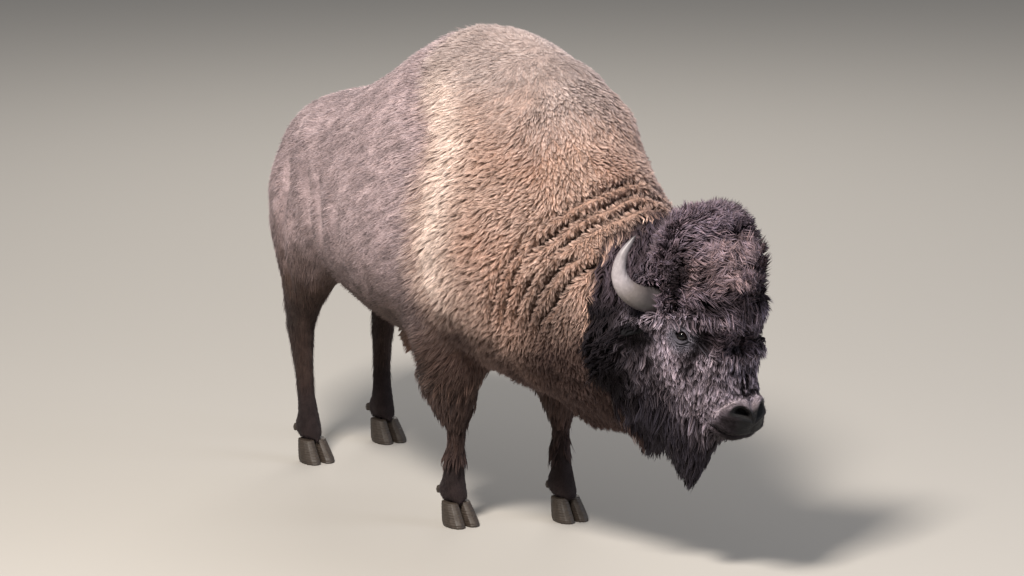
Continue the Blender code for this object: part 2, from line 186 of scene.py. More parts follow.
def regions(points):
    x, y, z = points.T
    spots = folded(points)
    side, along, out = spots.T
    front = ahead(points)
    ragged = lumps(points, 0.09, 5) * 0.6 + lumps(points, 0.03, 6) * 0.4
    edge = capeEdge["low"] + capeEdge["rise"] * ramp(capeEdge["from"], capeEdge["to"], z)
    temple = 0.04 * ramp(0.10, 0.20, side) * ramp(0.08, -0.05, along)
    head = ramp(-0.345, -0.285, front + temple + 0.03 * ragged)
    mop = blob(spots, (0, -0.215, 0.105), (0.31, 0.235, 0.215), 0.80)
    mop = mop * ramp(-0.055, 0.0, out + 0.25 * np.maximum(-0.20 - along, 0))
    forelock = blob(spots, (0, -0.03, 0.10), (0.20, 0.17, 0.14), 0.80) * (1 - mop)
    muzzle = ramp(0.240, 0.290, along) * ramp(-0.20, -0.13, out)
    beard = ramp(-0.13, -0.20, out - 0.25 * (along - 0.3)) * ramp(0.02, 0.14, along) * head
    behind = ramp(1.325, 1.34, y)
    return {
        "capeY": y - edge,
        "cape": 1 - ramp(-0.06, 0.13, y - edge + 0.05 * ragged),
        "head": head,
        "mop": mop,
        "forelock": forelock,
        "muzzle": muzzle,
        "beard": beard,
        "face": ramp(-0.20, -0.13, front) * (1 - mop) * (1 - forelock) * (1 - muzzle) * (1 - beard),
        "ear": ramp(0.225, 0.255, side) * ramp(-0.20, -0.15, along) * ramp(0.02, -0.04, along) * head,
        "eyeGap": blob(spots, eyeSpot, (0.07, 0.07, 0.07), 0.55),
        "foreleg": ramp(0.60, 0.47, z) * ramp(-0.42, -0.34, y) * ramp(0.28, 0.20, y),
        "hindleg": ramp(0.80, 0.62, z) * ramp(0.74, 0.84, y) * ramp(1.34, 1.32, y),
        "shank": ramp(0.33, 0.24, z),
        "tail": behind * ramp(1.26, 1.20, z),
        "tassel": behind * ramp(0.97, 0.90, z),
        "sheath": blob(points, (0, 0.50, 0.50), (0.16, 0.22, 0.13), 0.4),
        "belly": ramp(0.72, 0.56, z) * ramp(-0.75, -0.6, y),
    }


def underBrow(points):
    # the fold below the forehead's mop, from one horn's root to the other: dented into the skin and painted
    # with shade
    side, along, out = folded(points).T
    return ridge(along + 0.032 + 0.30 * side, 0.024) * ramp(0.03, 0.07, out) * ramp(0.26, 0.20, side)


def hollowPlaces(points):
    # the shaded hollows of the mop, in front of and above each horn
    return blob(folded(points), (0.226, -0.205, 0.120), (0.100, 0.115, 0.11), 0.45)


def tearFurrow(points):
    # the furrow that runs down the face from the tear duct: dented into the skin and painted with shade
    side, along, out = folded(points).T
    line = side - (0.152 - 0.16 * (along - 0.05)) + 0.010 * np.sin(along * 40)
    window = ramp(-0.012, 0.030, along) * ramp(0.24, 0.17, along) * ramp(-0.10, -0.05, out)
    return ridge(line, 0.026) * window


def coatDepth(points):
    # how far the skin lies inside the tips of the hair
    found = regions(points)
    spots = folded(points)
    depth = mix(0.009, 0.030 - 0.022 * ramp(1.30, 1.55, points[:, 2]), found["cape"])
    for deep, where in (
        (0.018, found["belly"]), (0.024, found["foreleg"]), (0.007, found["shank"]),
        (0.009, found["hindleg"]), (0.030, found["head"]), (0.016, found["face"]),
        (0.045, found["forelock"]), (0.060, found["mop"]),
        (0.026, blob(spots, (0, -0.37, 0.17), (0.30, 0.17, 0.17), 0.3)),
        (0.028, blob(spots, (0, -0.06, 0.20), (0.22, 0.10, 0.12), 0.2)),
        (0.030, found["beard"]), (0.004, found["muzzle"]), (0.004, found["ear"]),
        (0.004, found["eyeGap"]), (0.005, found["tail"]), (0.010, found["tassel"]),
    ):
        depth = mix(depth, deep, where)
    return depth


# the skin

skinLook = {"voxel": 0.0145, "smoothing": 7, "steps": 4, "eases": 2, "ease": 0.4, "unwrapAngle": 60}
fleshNodes = [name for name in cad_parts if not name.startswith(("horn", "hoof", "dewclaw", "eye"))]


def copyNode(name):
    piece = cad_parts[name].copy()
    piece.data = piece.data.copy()
    for key in list(piece.keys()):
        del piece[key]
    piece.parent = None
    bpy.context.scene.collection.objects.link(piece)
    piece.data.materials.clear()
    return piece


def joinCopies(names, title):
    copies = [copyNode(name) for name in names]
    chooseOnly(*copies)
    if len(copies) > 1:
        bpy.ops.object.join()
    piece = bpy.context.view_layer.objects.active
    piece.name = title
    piece.data.name = title
    bpy.ops.object.mode_set(mode="EDIT")
    bpy.ops.mesh.select_all(action="SELECT")
    bpy.ops.mesh.remove_doubles(threshold=0.00001)
    bpy.ops.object.mode_set(mode="OBJECT")
    return piece


def remeshed(piece, voxel, smoothing):
    chooseOnly(piece)
    remesh = piece.modifiers.new("remesh", "REMESH")
    remesh.mode = "VOXEL"
    remesh.voxel_size = voxel
    remesh.use_smooth_shade = True
    bpy.ops.object.modifier_apply(modifier="remesh")
    smooth = piece.modifiers.new("smooth", "SMOOTH")
    smooth.iterations = smoothing
    bpy.ops.object.modifier_apply(modifier="smooth")
    return piece


def neighbourMean(mesh, values):
    ends = np.empty(len(mesh.edges) * 2, np.int32)
    mesh.edges.foreach_get("vertices", ends)
    a, b = ends.reshape(-1, 2).T
    count = np.bincount(a, minlength=len(values)) + np.bincount(b, minlength=len(values))
    total = np.stack([
        np.bincount(a, values[b, k], len(values)) + np.bincount(b, values[a, k], len(values))
        for k in range(3)
    ], axis=1)
    return total / np.maximum(count, 1)[:, None]


def shrinkUnderCoat(mesh):
    depth = coatDepth(readPoints(mesh)) / skinLook["steps"]
    for step in range(skinLook["steps"]):
        points = readPoints(mesh) - readVectors(mesh.vertices, "normal") * depth[:, None]
        for turn in range(skinLook["eases"]):
            points = mix(points, neighbourMean(mesh, points), skinLook["ease"])
        writePoints(mesh, points)


def refine(piece, wanted):
    # splits the faces whose middles are wanted into four
    mesh = piece.data
    chosen = wanted(readVectors(mesh.polygons, "center"))
    chooseOnly(piece)
    bpy.ops.object.mode_set(mode="EDIT")
    bpy.ops.mesh.select_all(action="DESELECT")
    bpy.ops.mesh.select_mode(type="FACE")
    bpy.ops.object.mode_set(mode="OBJECT")
    mesh.polygons.foreach_set("select", chosen)
    bpy.ops.object.mode_set(mode="EDIT")
    bpy.ops.mesh.subdivide(number_cuts=1, smoothness=0.6)
    bpy.ops.object.mode_set(mode="OBJECT")


def nearEyes(points, reach):
    return np.linalg.norm(folded(points) - eyeSpot, axis=1) < reach


skin = remeshed(joinCopies(fleshNodes, "skin"), skinLook["voxel"], skinLook["smoothing"])
shrinkUnderCoat(skin.data)
print("skin under the coat:", len(skin.data.vertices), "points")
chooseOnly(skin)
bpy.ops.object.mode_set(mode="EDIT")
bpy.ops.mesh.select_all(action="SELECT")
bpy.ops.uv.smart_project(angle_limit=radians(skinLook["unwrapAngle"]), island_margin=0.002)
bpy.ops.object.mode_set(mode="OBJECT")
skin.data.uv_layers[0].name = "OFBake"
print("skin unwrapped")
# finer on the face, finest round the eyes
refine(skin, lambda p: (inHead(p)[:, 1] > -0.08) & (ahead(p) > -0.13))
refine(skin, lambda p: nearEyes(p, 0.095) | ((inHead(p)[:, 1] > 0.21) & (inHead(p)[:, 2] > -0.20)))
refine(skin, lambda p: nearEyes(p, 0.060))


# the face: lids, folds, nostrils and lips

lidLook = {
    "half": 0.0255, "upper": 0.0170, "lower": 0.0135, "thick": 0.0045, "blend": (0.034, 0.072),
    "facing": (0.90, 0.04, 0.43), "slit": (0, 0.72, 0.69), "recess": 0.007, "least": 0.006,
    "folds": ((0.0045, 0.0085, 0.0022), (0.0025, 0.0170, 0.0022)),  # depth, distance from the slit, width
    "wrinkle": 0.0032, "apart": 0.0088, "brow": 0.0060, "tearDuct": 0.0070, "tearLine": 0.0060,
}


def eyeAxes(hand):
    # facing out of the head, along the slit towards the nose, and up across it
    facing = unit(np.array(lidLook["facing"]) * (hand, 1, 1) @ headAxes)
    slit = np.array(lidLook["slit"]) @ headAxes
    slit = unit(slit - (slit @ facing) * facing)
    across = np.cross(facing, slit)
    return facing, slit, across * np.sign(across[2])


def shapeLids(points):
    for hand, eye in ((1, leftEye), (-1, rightEye)):
        facing, slit, across = eyeAxes(hand)
        gap = points - eye
        p, q, height = gap @ slit, gap @ across, gap @ facing
        arc = np.clip(1 - (p / lidLook["half"]) ** 2, 0, 1)
        upper = lidLook["upper"] * arc ** 0.75
        lower = -lidLook["lower"] * arc ** 0.9
        corner = np.maximum(np.abs(p) - lidLook["half"], 0)
        # how far outside the slit each point is
        gone = np.maximum(q - upper, lower - q)
        gone = np.where(corner > 0, np.hypot(corner, np.maximum(np.abs(q) - 0.0005, 0)), gone)
        reach = np.hypot(p / 1.15, q)
        ball = np.sqrt(np.maximum(eyeRadius ** 2 - reach ** 2, 0))
        shell = np.sqrt(np.maximum((eyeRadius + lidLook["thick"]) ** 2 - reach ** 2, lidLook["least"] ** 2))
        shell = shell + 0.010 * ramp(0.012, 0.030, reach)
        target = mix(ball - lidLook["recess"], shell, ramp(0.0, 0.0022, gone))
        for deep, at, width in lidLook["folds"]:
            target -= deep * ridge(gone - at, width) * (q > 0)
        below = ramp(0.003, 0.010, gone) * ramp(0.052, 0.034, gone) * ramp(0.006, -0.004, q)
        wavy = gone + 0.0022 * lumps(points, 0.018, 31) + 0.05 * p
        target += lidLook["wrinkle"] * below * np.sin(2 * pi * wavy / lidLook["apart"])
        target += lidLook["brow"] * ridge(gone - 0.026, 0.010) * ramp(0.0, 0.010, q)
        target += lidLook["tearDuct"] * ridge(p - 0.041, 0.007) * ridge(q + 0.001, 0.008)
        duct = ridge(q + 0.006 + 0.35 * (p - 0.022), 0.003)
        target -= lidLook["tearLine"] * duct * ramp(0.020, 0.026, p) * ramp(0.050, 0.036, p)
        inside = (reach < 0.08) & (height > -0.035) & (np.abs(height) < 0.09)
        share = (1 - ramp(*lidLook["blend"], reach)) * inside
        points = points + ((target - height) * share)[:, None] * facing
    return points


nostrilLook = {
    "at": (0.046, 0.317, 0.017), "long": (-0.57, 0.73, 0.39), "over": (-0.44, -0.66, 0.60), "curved": 7.0,
    "half": 0.040, "narrow": 0.0175, "pinch": 0.40, "deep": 0.036, "rim": 0.008,
    "inward": (-0.55, -0.45, -0.70), "wing": (0.45, 0.45, 0.75),
}


def nostrilReach(spots):
    # 0 in the middle of the nearer nostril and 1 on its edge, and how far towards its upper outer side
    gap = spots - np.array(nostrilLook["at"])
    long = unit(np.array(nostrilLook["long"]))
    over = unit(np.array(nostrilLook["over"]))
    over = unit(over - (over @ long) * long)
    p = gap @ long
    q = gap @ over + nostrilLook["curved"] * p * p
    narrow = nostrilLook["narrow"] * (1 - nostrilLook["pinch"] * np.clip(p / nostrilLook["half"], -1, 1))
    away = gap @ np.cross(long, over)
    return np.sqrt((p / nostrilLook["half"]) ** 2 + (q / narrow) ** 2 + (away / 0.05) ** 2), q


mouthLook = {"at": -0.058, "slope": 0.62, "groove": 0.012, "upperLip": 0.006, "lowerLip": 0.005}
faceLobes = (((0.175, 0.115, -0.055), 0.065), ((0.095, 0.13, 0.055), 0.070), ((0.130, 0.20, -0.050), 0.060))


def shapeFace(points):
    hand = np.sign(inHead(points)[:, 0])
    spots = folded(points)
    side, along, out = spots.T
    # nostrils sink inwards and back, with a raised wing
    reach, over = nostrilReach(spots)
    sink = ramp(1.05, 0.35, reach) * nostrilLook["deep"]
    wing = ridge(reach - 1.45, 0.42) * nostrilLook["rim"] * (0.55 + 0.45 * ramp(-0.01, 0.012, over))
    shift = sink[:, None] * unit(np.array(nostrilLook["inward"])) + wing[:, None] * nostrilLook["wing"]
    # lips: a groove, fuller to either side of it
    line = out - mouthLook["at"] + mouthLook["slope"] * (0.372 - along)
    lips = mouthLook["upperLip"] * ridge(line - 0.020, 0.012)
    lips += mouthLook["lowerLip"] * ridge(line + 0.018, 0.012)
    lips = (lips - mouthLook["groove"] * ridge(line, 0.0045)) * ramp(0.22, 0.26, along)
    outwards = unit(np.stack([side * 1.2, np.maximum(along - 0.25, 0.0), 0.15 * line], axis=1))
    shift += lips[:, None] * outwards
    # the dip between the nostrils
    shift[:, 2] -= 0.006 * ridge(side, 0.012) * ramp(0.27, 0.30, along) * ramp(-0.06, -0.01, out)
    # cheek: two masses parted by the furrow that runs down from the tear duct
    shift[:, 0] -= 0.022 * tearFurrow(points)
    for at, size in faceLobes:
        lobe = 0.012 * blob(spots, at, (size, size, size), 0.1)
        shift[:, 0] += 0.8 * lobe
        shift[:, 2] += 0.5 * lobe
    # the mop hangs over a fold, and is hollow before the horns
    hollow = hollowPlaces(points)
    shift[:, 0] -= 0.030 * hollow
    shift[:, 2] -= 0.020 * hollow + 0.004 * underBrow(points)
    shift[:, 0] *= hand
    return points + shift @ headAxes


creaseLook = {
    "low": 0.65, "behind": -1.30, "lean": 0.25, "first": 0.645, "apart": 0.054, "thin": 0.25, "deep": 0.050,
}


def creases(points):
    # folds that ring the woolly neck, deepest high on the nape and at its middle; they are dented into the
    # skin, and painted shade darkens the coat in them
    x, y, z = points.T
    beside = np.abs(x - midline - 0.18 * ramp(-0.55, -1.25, y))
    level = np.hypot(y - creaseLook["behind"], z - creaseLook["low"]) + creaseLook["lean"] * beside
    wavy = level + 0.014 * lumps(points, 0.12, 11) + 0.006 * lumps(points, 0.045, 12)
    phase = (wavy - creaseLook["first"]) / creaseLook["apart"]
    line = ridge((phase + 0.5) % 1.0 - 0.5, creaseLook["thin"])
    broken = ramp(-0.35, 0.15, lumps(np.stack([level * 3.5, beside, z], axis=1), 0.12, 13))
    broken = np.maximum(broken, ramp(0.16, 0.08, beside))
    return line * broken * ramp(0.89, 0.83, level) * ramp(0.58, 0.62, level) * ramp(0.78, 0.90, z)


# long shallow valleys between the muscles of thigh and flank: place, lean, width, depth, lowest and highest
muscleValleys = (
    (1.00, -0.10, 0.028, 0.022, 0.62, 1.22), (1.17, -0.06, 0.022, 0.014, 0.60, 1.15),
    (0.74, 0.10, 0.040, 0.024, 0.60, 1.22), (0.60, 0.16, 0.035, 0.014, 0.66, 1.25),
    (0.44, 0.10, 0.045, 0.010, 0.70, 1.25),
)
clawNodes = sorted(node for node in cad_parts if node.startswith(("hoof", "dewclaw")))
# where the body swells: height, middle, radii, core
swellings = [
    (0.018, (0.08, -0.50, 1.58), (0.35, 0.30, 0.26), 0.3),
    (0.016, (0.22, 0.89, 1.28), (0.11, 0.10, 0.09), 0.1),
    (0.016, (-0.26, 0.89, 1.28), (0.11, 0.10, 0.09), 0.1),
]
# the fetlock bulges round the root of each dewclaw
dewclawNodes = [node for node in clawNodes if node.startswith("dewclaw")]
swellings += [(0.016, middle(node), (0.055, 0.060, 0.065), 0.2) for node in dewclawNodes]


def shapeBody(mesh):
    points = readPoints(mesh)
    x, y, z = points.T
    found = regions(points)
    wool = found["cape"] * (1 - found["head"])
    rear = 1 - found["cape"]
    beside = ramp(0.10, 0.20, np.abs(x - midline))
    swell = 0.008 * wool * lumps(points, 0.11, 21) + 0.004 * wool * lumps(points, 0.04, 22)
    swell -= creaseLook["deep"] * creases(points) * wool
    for start, lean, width, deep, low, high in muscleValleys:
        valley = y - (start + lean * (z - 0.9) + 0.01 * np.sin(z * 17))
        window = ramp(low, low + 0.12, z) * ramp(high, high - 0.15, z) * beside
        swell -= deep * ridge(valley, width) * window * rear
    for rise, at, radii, core in swellings:
        swell += rise * blob(points, at, radii, core)
    swell += 0.0020 * rear * lumps(points, 0.05, 23) * (1 - found["shank"])
    points = points + readVectors(mesh.vertices, "normal") * swell[:, None]
    writePoints(mesh, shapeLids(shapeFace(points)))


shapeBody(skin.data)
print("skin shaped:", len(skin.data.vertices), "points,", len(skin.data.polygons), "faces")


# markings with painted shade and highlights, the same for the skin and the coat

def nearLids(points):
    return blob(folded(points), eyeSpot + (0, -0.024, 0.010), (0.078, 0.110, 0.106), 0.60)


coatColours = {
    "cape": "#ab8c7d", "capeWarm": "#a17c6a", "capeTop": "#9d8c87", "band": "#dac1b4", "capeLow": "#4a3832",
    "rear": "#aa9799", "rearLow": "#4a3a33", "rearBack": "#8c7b7d",
    "mop": "#5b4f59", "mopFront": "#7b6562", "forelock": "#31292e", "face": "#7d727d",
    "cheekBack": "#0a0a0d", "beard": "#1c1a20", "muzzle": "#262225", "rim": "#857a80",
    "leg": "#352925", "shank": "#282020", "tail": "#5a4a48", "tassel": "#2a2120", "sheath": "#4a382f",
    "eyeSkin": "#54545e", "shadow": "#080709",
}
coatTones = {name: hexColour(code) for name, code in coatColours.items()}
coatTones["nape"] = coatTones["mop"] * 0.32


def painted(tone, *layers):
    # lays named colours over a tone, each by its share at every point
    for name, share in layers:
        tone = mix(tone, coatTones[name], share[:, None])
    return tone


def capeColours(points, found, broad, mid):
    x, y, z = points.T
    band = ridge(found["capeY"] + 0.095, 0.095) * ramp(0.75, 1.0, z) * ramp(1.72, 1.55, z)
    low = z + 0.10 * broad + 0.03 * mid - 0.14 * ramp(-0.55, -0.80, y)
    tone = painted(coatTones["cape"],
                   ("capeWarm", 0.7 * ramp(-0.3, 0.7, broad)),
                   ("capeTop", ramp(1.42, 1.68, z + 0.08 * broad)),
                   ("band", 0.85 * band),
                   ("capeLow", ramp(0.94, 0.62, low)))
    # the creases are painted with shade; the small lumps are the wool's own tone
    return tone * (1 + 0.22 * lumps(points, 0.014, 49))[:, None] * (1 - 0.93 * creases(points))[:, None]


def headColours(points, found, mid):
    spots = folded(points)
    side, along, out = spots.T
    front = ahead(points)
    further = 0.65 * ramp(-0.10, -0.16, front + 0.05 * mid) + 0.35 * ramp(-0.19, -0.24, front)
    behindEye = blob(spots, (0.255, -0.06, -0.10), (0.07, 0.11, 0.09), 0.5)
    tone = painted(coatTones["face"],
                   ("cheekBack", further),
                   ("cheekBack", np.maximum(found["ear"], behindEye)),
                   ("nape", ramp(-0.16, -0.24, front) * ramp(0.98, 1.10, points[:, 2])),
                   ("beard", np.maximum(found["beard"], ramp(-0.16, -0.24, out) * ramp(0.0, 0.1, along))),
                   ("forelock", found["forelock"]))
    # painted highlight on the bulge of the cheek; the face also darkens towards the middle of the nose and
    # towards the muzzle, and varies at random in lumps
    cheek = blob(spots, (0.20, 0.09, -0.08), (0.09, 0.16, 0.12), 0.3)
    patchesAndCheekLight = 0.40 * lumps(points, 0.030, 43) + 0.30 * cheek
    patchesAndCheekLight -= 0.45 * ramp(0.10, 0.05, side) + 0.35 * ramp(0.17, 0.25, along)
    tone = tone * (1 + patchesAndCheekLight * found["face"] + 0.70 * lumps(points, 0.012, 46))[:, None]
    lobe = blob(spots, (0, -0.165, 0.150), (0.27, 0.15, 0.16), 0.15) * (0.7 + 0.3 * lumps(points, 0.04, 47))
    top = painted(coatTones["mop"], ("mopFront", lobe)) * (1 + 0.45 * lumps(points, 0.016, 48))[:, None]
    tone = mix(tone, top, found["mop"])
    # painted shade: the right hollow is in deep shade, the left one opens to the light; the fold under the
    # mop and the tear furrow get painted shade too
    hollow = hollowPlaces(points) * mix(0.96, 0.30, ramp(-0.02, 0.02, inHead(points)[:, 0]))
    shadow = np.maximum(0.92 * np.maximum(underBrow(points), tearFurrow(points)), hollow)
    reach, over = nostrilReach(spots)
    rim = ridge(reach - 1.9, 0.6) * ramp(-0.004, 0.012, over) * ramp(0.22, 0.26, along)
    return painted(tone,
                   ("shadow", shadow),
                   ("muzzle", ramp(0.258, 0.312, along + 0.02 * mid) * ramp(-0.20, -0.13, out)),
                   ("rim", rim),
                   ("eyeSkin", found["eyeGap"] * 0.8))


def markingsAndPaintedShade(points):
    x, y, z = points.T
    found = regions(points)
    broad = lumps(points, 0.16, 41)
    mid = lumps(points, 0.05, 42)
    # flanks and thighs darken towards the bottom: browner hair low down, with painted shade under the body
    tone = painted(coatTones["rear"],
                   ("rearBack", 0.45 * ramp(-0.6, 0.8, broad)),
                   ("rearLow", ramp(1.06, 0.64, z + 0.05 * mid)))
    tone = mix(tone, capeColours(points, found, broad, mid), found["cape"])
    tone = painted(tone,
                   ("sheath", found["sheath"]),
                   ("leg", np.maximum(found["foreleg"], found["hindleg"]) * ramp(0.75, 0.50, z)),
                   ("shank", ramp(0.35, 0.20, z)),
                   ("tail", found["tail"] * ramp(1.22, 1.04, z)),
                   ("tassel", found["tassel"]))
    tone = mix(tone, headColours(points, found, mid), found["head"])
    # streaks along the lie of the hair on flanks and rump
    fibres = np.stack([x, 0.41 * y + 0.91 * z, 0.17 * (0.91 * y - 0.41 * z)], axis=1)
    streaks = 0.32 * lumps(fibres, 0.009, 44) + 0.22 * lumps(fibres, 0.022, 45)
    tone = tone * (1 + streaks * (1 - found["cape"]) * (1 - found["head"]))[:, None]
    return np.clip(tone * (1 + 0.10 * mid + 0.08 * broad)[:, None], 0, 1)


def bareness(points):
    # the bare wet nose, and the thin-haired lids
    spots = folded(points)
    side, along, out = spots.T
    pad = ramp(0.300, 0.325, along + 0.25 * np.maximum(out, -0.05)) * ramp(-0.060, -0.035, out)
    pad = np.maximum(pad * ramp(0.072, 0.050, side), ramp(1.40, 1.05, nostrilReach(spots)[0]))
    lids = np.zeros(len(points))
    for hand, eye in ((1, leftEye), (-1, rightEye)):
        facing, slit, across = eyeAxes(hand)
        gap = points - eye
        lids = np.maximum(lids, 1 - ramp(0.024, 0.036, np.hypot(gap @ slit / 1.2, gap @ across + 0.004)))
    return pad, lids


skinPoints = readPoints(skin.data)
nosePad, lidSkin = bareness(skinPoints)
putAttribute(skin.data, "tint", "FLOAT_COLOR", markingsAndPaintedShade(skinPoints))
putAttribute(skin.data, "bare", "FLOAT", np.maximum(nosePad, lidSkin * 0.25))


# materials

def newMaterial(name, **shader):
    material = bpy.data.materials.new(name)
    material.use_nodes = True
    surface = material.node_tree.nodes["Principled BSDF"]
    for socket, value in shader.items():
        surface.inputs[socket.replace("_", " ")].default_value = value
    return material, surface


def addNode(material, kind, **settings):
    # a node, each of whose settings is a value or the socket that feeds it
    node = material.node_tree.nodes.new("ShaderNode" + kind)
    for name, value in settings.items():
        if hasattr(node, name):
            setattr(node, name, value)
            continue
        socket = node.inputs[{"first": 0, "second": 1}.get(name, name.replace("_", " "))]
        if isinstance(value, bpy.types.NodeSocket):
            material.node_tree.links.new(value, socket)
        else:
            socket.default_value = value
    return node


def rgba(code):
    return tuple(hexColour(code)) + (1.0,)


def objectPlace(material):
    return addNode(material, "TexCoord").outputs["Object"]


def carried(material, name, output="Fac"):
    # what the mesh carries at each point
    return addNode(material, "Attribute", attribute_name=name).outputs[output]


def noise(material, place, scale, detail=2, roughness=0.5):
    grain = addNode(material, "TexNoise", Vector=place, Scale=scale, Detail=detail, Roughness=roughness)
    return grain.outputs["Fac"]


def spread(material, value, low, high, start=0.0, end=1.0):
    # spreads start to end over low to high
    span = addNode(material, "MapRange", Value=value, From_Min=start, From_Max=end, To_Min=low, To_Max=high)
    return span.outputs[0]


def combined(material, operation, first, second):
    return addNode(material, "Math", operation=operation, first=first, second=second).outputs[0]


def scaled(material, colour, amount):
    return addNode(material, "VectorMath", operation="SCALE", Vector=colour, Scale=amount).outputs[0]


def mixed(material, share, first, second):
    return addNode(material, "MixRGB", Fac=share, Color1=first, Color2=second).outputs[0]


def colourStops(material, value, stops):
    ramped = addNode(material, "ValToRGB", Fac=value)
    elements = ramped.color_ramp.elements
    for element, (position, code) in zip(elements, (stops[0], stops[-1])):
        element.position, element.color = position, rgba(code)
    for position, code in stops[1:-1]:
        elements.new(position).color = rgba(code)
    return ramped.outputs["Color"]


def shade(material, surface, colour, roughness=None, height=None, strength=0.3, distance=0.002):
    link = material.node_tree.links.new
    link(colour, surface.inputs["Base Color"])
    if roughness is not None:
        link(roughness, surface.inputs["Roughness"])
    if height is not None:
        bump = addNode(material, "Bump", Height=height, Strength=strength, Distance=distance)
        link(bump.outputs["Normal"], surface.inputs["Normal"])


def hideMaterial():
    # tanned hide with its close short hair: matt, streaked along the lie, wet and pebbled where bare
    material, surface = newMaterial("Hide with short hair", Roughness=0.82, Specular_IOR_Level=0.16,
                                    Sheen_Weight=0.05, Sheen_Roughness=0.5)
    place = objectPlace(material)
    bare = carried(material, "bare")
    lie = addNode(material, "Mapping", Vector=place, Rotation=(0.35, 0, 0), Scale=(1, 0.16, 0.9)).outputs[0]
    streaks = noise(material, lie, 330, 3, 0.6)  # hairs about 3 mm apart, the finest that shows
    patches = noise(material, place, 22, 4, 0.6)
    pebbles = addNode(material, "TexVoronoi", Vector=place, Scale=420).outputs["Distance"]
    amount = combined(material, "MULTIPLY", spread(material, streaks, 0.62, 1.15, 0.3, 0.7),
                      spread(material, patches, 0.85, 1.12, 0.3, 0.7))
    hair = scaled(material, carried(material, "tint", "Color"), amount)
    colour = mixed(material, bare, hair, mixed(material, patches, rgba("#060506"), rgba("#100e10")))
    height = combined(material, "ADD", streaks, combined(material, "MULTIPLY", pebbles, bare))
    shade(material, surface, colour, spread(material, bare, 0.84, 0.52), height, 0.55, 0.004)
    return material


def hairMaterial(look):
    # dry keratin fibres in locks: painted shade deep at the root between the locks, and towards the tip
    # frayed, sun-bleached and lightened with a painted highlight
    material, surface = newMaterial(look["title"], Roughness=look["rough"],
                                    Specular_IOR_Level=look["shine"], Sheen_Weight=look["sheen"],
                                    Sheen_Roughness=0.45)
    surface.inputs["Sheen Tint"].default_value = rgba("#c9b8c0")
    surface.inputs["Specular Tint"].default_value = rgba("#c4aeb8")
    reach = carried(material, "reach")
    fibres = noise(material, objectPlace(material), look["speckle"], 2, 0.7)
    # the dark root is painted shade between the locks; the light tip is partly sun-bleaching and partly a
    # painted highlight
    amount = combined(material, "MULTIPLY", spread(material, reach, look["root"], look["tip"], 0.10, 0.85),
                      spread(material, fibres, 0.72, 1.22, 0.3, 0.7))
    colour = scaled(material, carried(material, "tint", "Color"), amount)
    faded = addNode(material, "HueSaturation", Color=colour,
                    Saturation=spread(material, reach, 1.0, look["fading"], 0.2, 1.0)).outputs[0]
    shade(material, surface, faded, None, fibres, 0.35, 0.0015)
    return material


def hornMaterial():
    # horn sheath: grey keratin, worn pale and satin on the curve, finely ridged, darker at tip and root
    material, surface = newMaterial("Worn horn sheath", Roughness=0.42, Specular_IOR_Level=0.5,
                                    Coat_Weight=0.08, Coat_Roughness=0.3)
    place = objectPlace(material)
    grain = noise(material, place, 60, 5, 0.65)
    lines = noise(material, addNode(material, "Mapping", Vector=place, Scale=(1, 1, 0.15)).outputs[0], 420)
    colour = colourStops(material, carried(material, "reach"), (
        (0.34, "#3f3b3d"), (0.48, "#77706f"), (0.62, "#a8a1a6"), (0.80, "#8d878b"), (0.90, "#7c777c"),
        (1.0, "#3d3a3d")))
    stained = scaled(material, colour, spread(material, grain, 0.80, 1.10, 0.3, 0.7))
    height = combined(material, "ADD", lines, grain)
    shade(material, surface, stained, spread(material, grain, 0.34, 0.56), height, 0.25, 0.0015)
    return material


def hoofMaterial():
    # hoof wall: black-brown keratin, growth rings, chalky scuffs
    material, surface = newMaterial("Scuffed hoof wall", Roughness=0.5, Specular_IOR_Level=0.4)
    place = objectPlace(material)
    grain = noise(material, place, 80, 5, 0.7)
    rings = addNode(material, "TexWave", Vector=place, bands_direction="Z", Scale=38, Distortion=2.2,
                    Detail=2)
    colour = mixed(material, grain, rgba("#17130f"), rgba("#4a4038"))
    height = combined(material, "ADD", rings.outputs["Fac"], grain)
    shade(material, surface, colour, spread(material, grain, 0.35, 0.75), height, 0.35, 0.002)
    return material


def eyeMaterial():
    # wet cornea over a brown-black iris with a level oval pupil
    material, surface = newMaterial("Wet dark eye", Roughness=0.12, Specular_IOR_Level=0.25,
                                    Coat_Weight=0.35, Coat_Roughness=0.03)
    fibres = noise(material, objectPlace(material), 600, 3)
    colour = colourStops(material, carried(material, "iris"), (
        (0.36, "#030304"), (0.42, "#0d0806"), (0.62, "#100a08"), (0.70, "#070505"), (0.76, "#100d0d"),
        (0.86, "#1c1716")))
    shade(material, surface, scaled(material, colour, spread(material, fibres, 0.75, 1.2)))
    return material


# root and tip scale each lock's colour: the dark root is painted shade, the light tip partly sun-bleaching
# and partly painted highlight
hairLooks = {
    "wool": {"title": "Sun-bleached wool with painted light and shade", "root": 0.22, "tip": 1.42, "sheen": 0.20, "rough": 0.85,
             "shine": 0.30, "speckle": 260, "fading": 0.72},
    "dark": {"title": "Long dark hair", "root": 0.05, "tip": 1.92, "sheen": 0.07, "rough": 0.55,
             "shine": 0.20, "speckle": 240, "fading": 0.85},
    "short": {"title": "Short summer hair", "root": 0.42, "tip": 1.24, "sheen": 0.12, "rough": 0.75,
              "shine": 0.25, "speckle": 300, "fading": 0.85},
}
materials = {name: hairMaterial(look) for name, look in hairLooks.items()}
materials |= {"hide": hideMaterial(), "horn": hornMaterial(), "hoof": hoofMaterial(), "eye": eyeMaterial()}


def finishPiece(piece, material, slot, *nodes):
    piece.data.materials.clear()
    piece.data.materials.append(materials[material])
    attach(piece, "root")
    if nodes:
        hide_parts(*nodes)


finishPiece(skin, "hide", "short_coat", *fleshNodes)


# the lie of the coat

poll = fromHead((0, -0.16, 0.0))


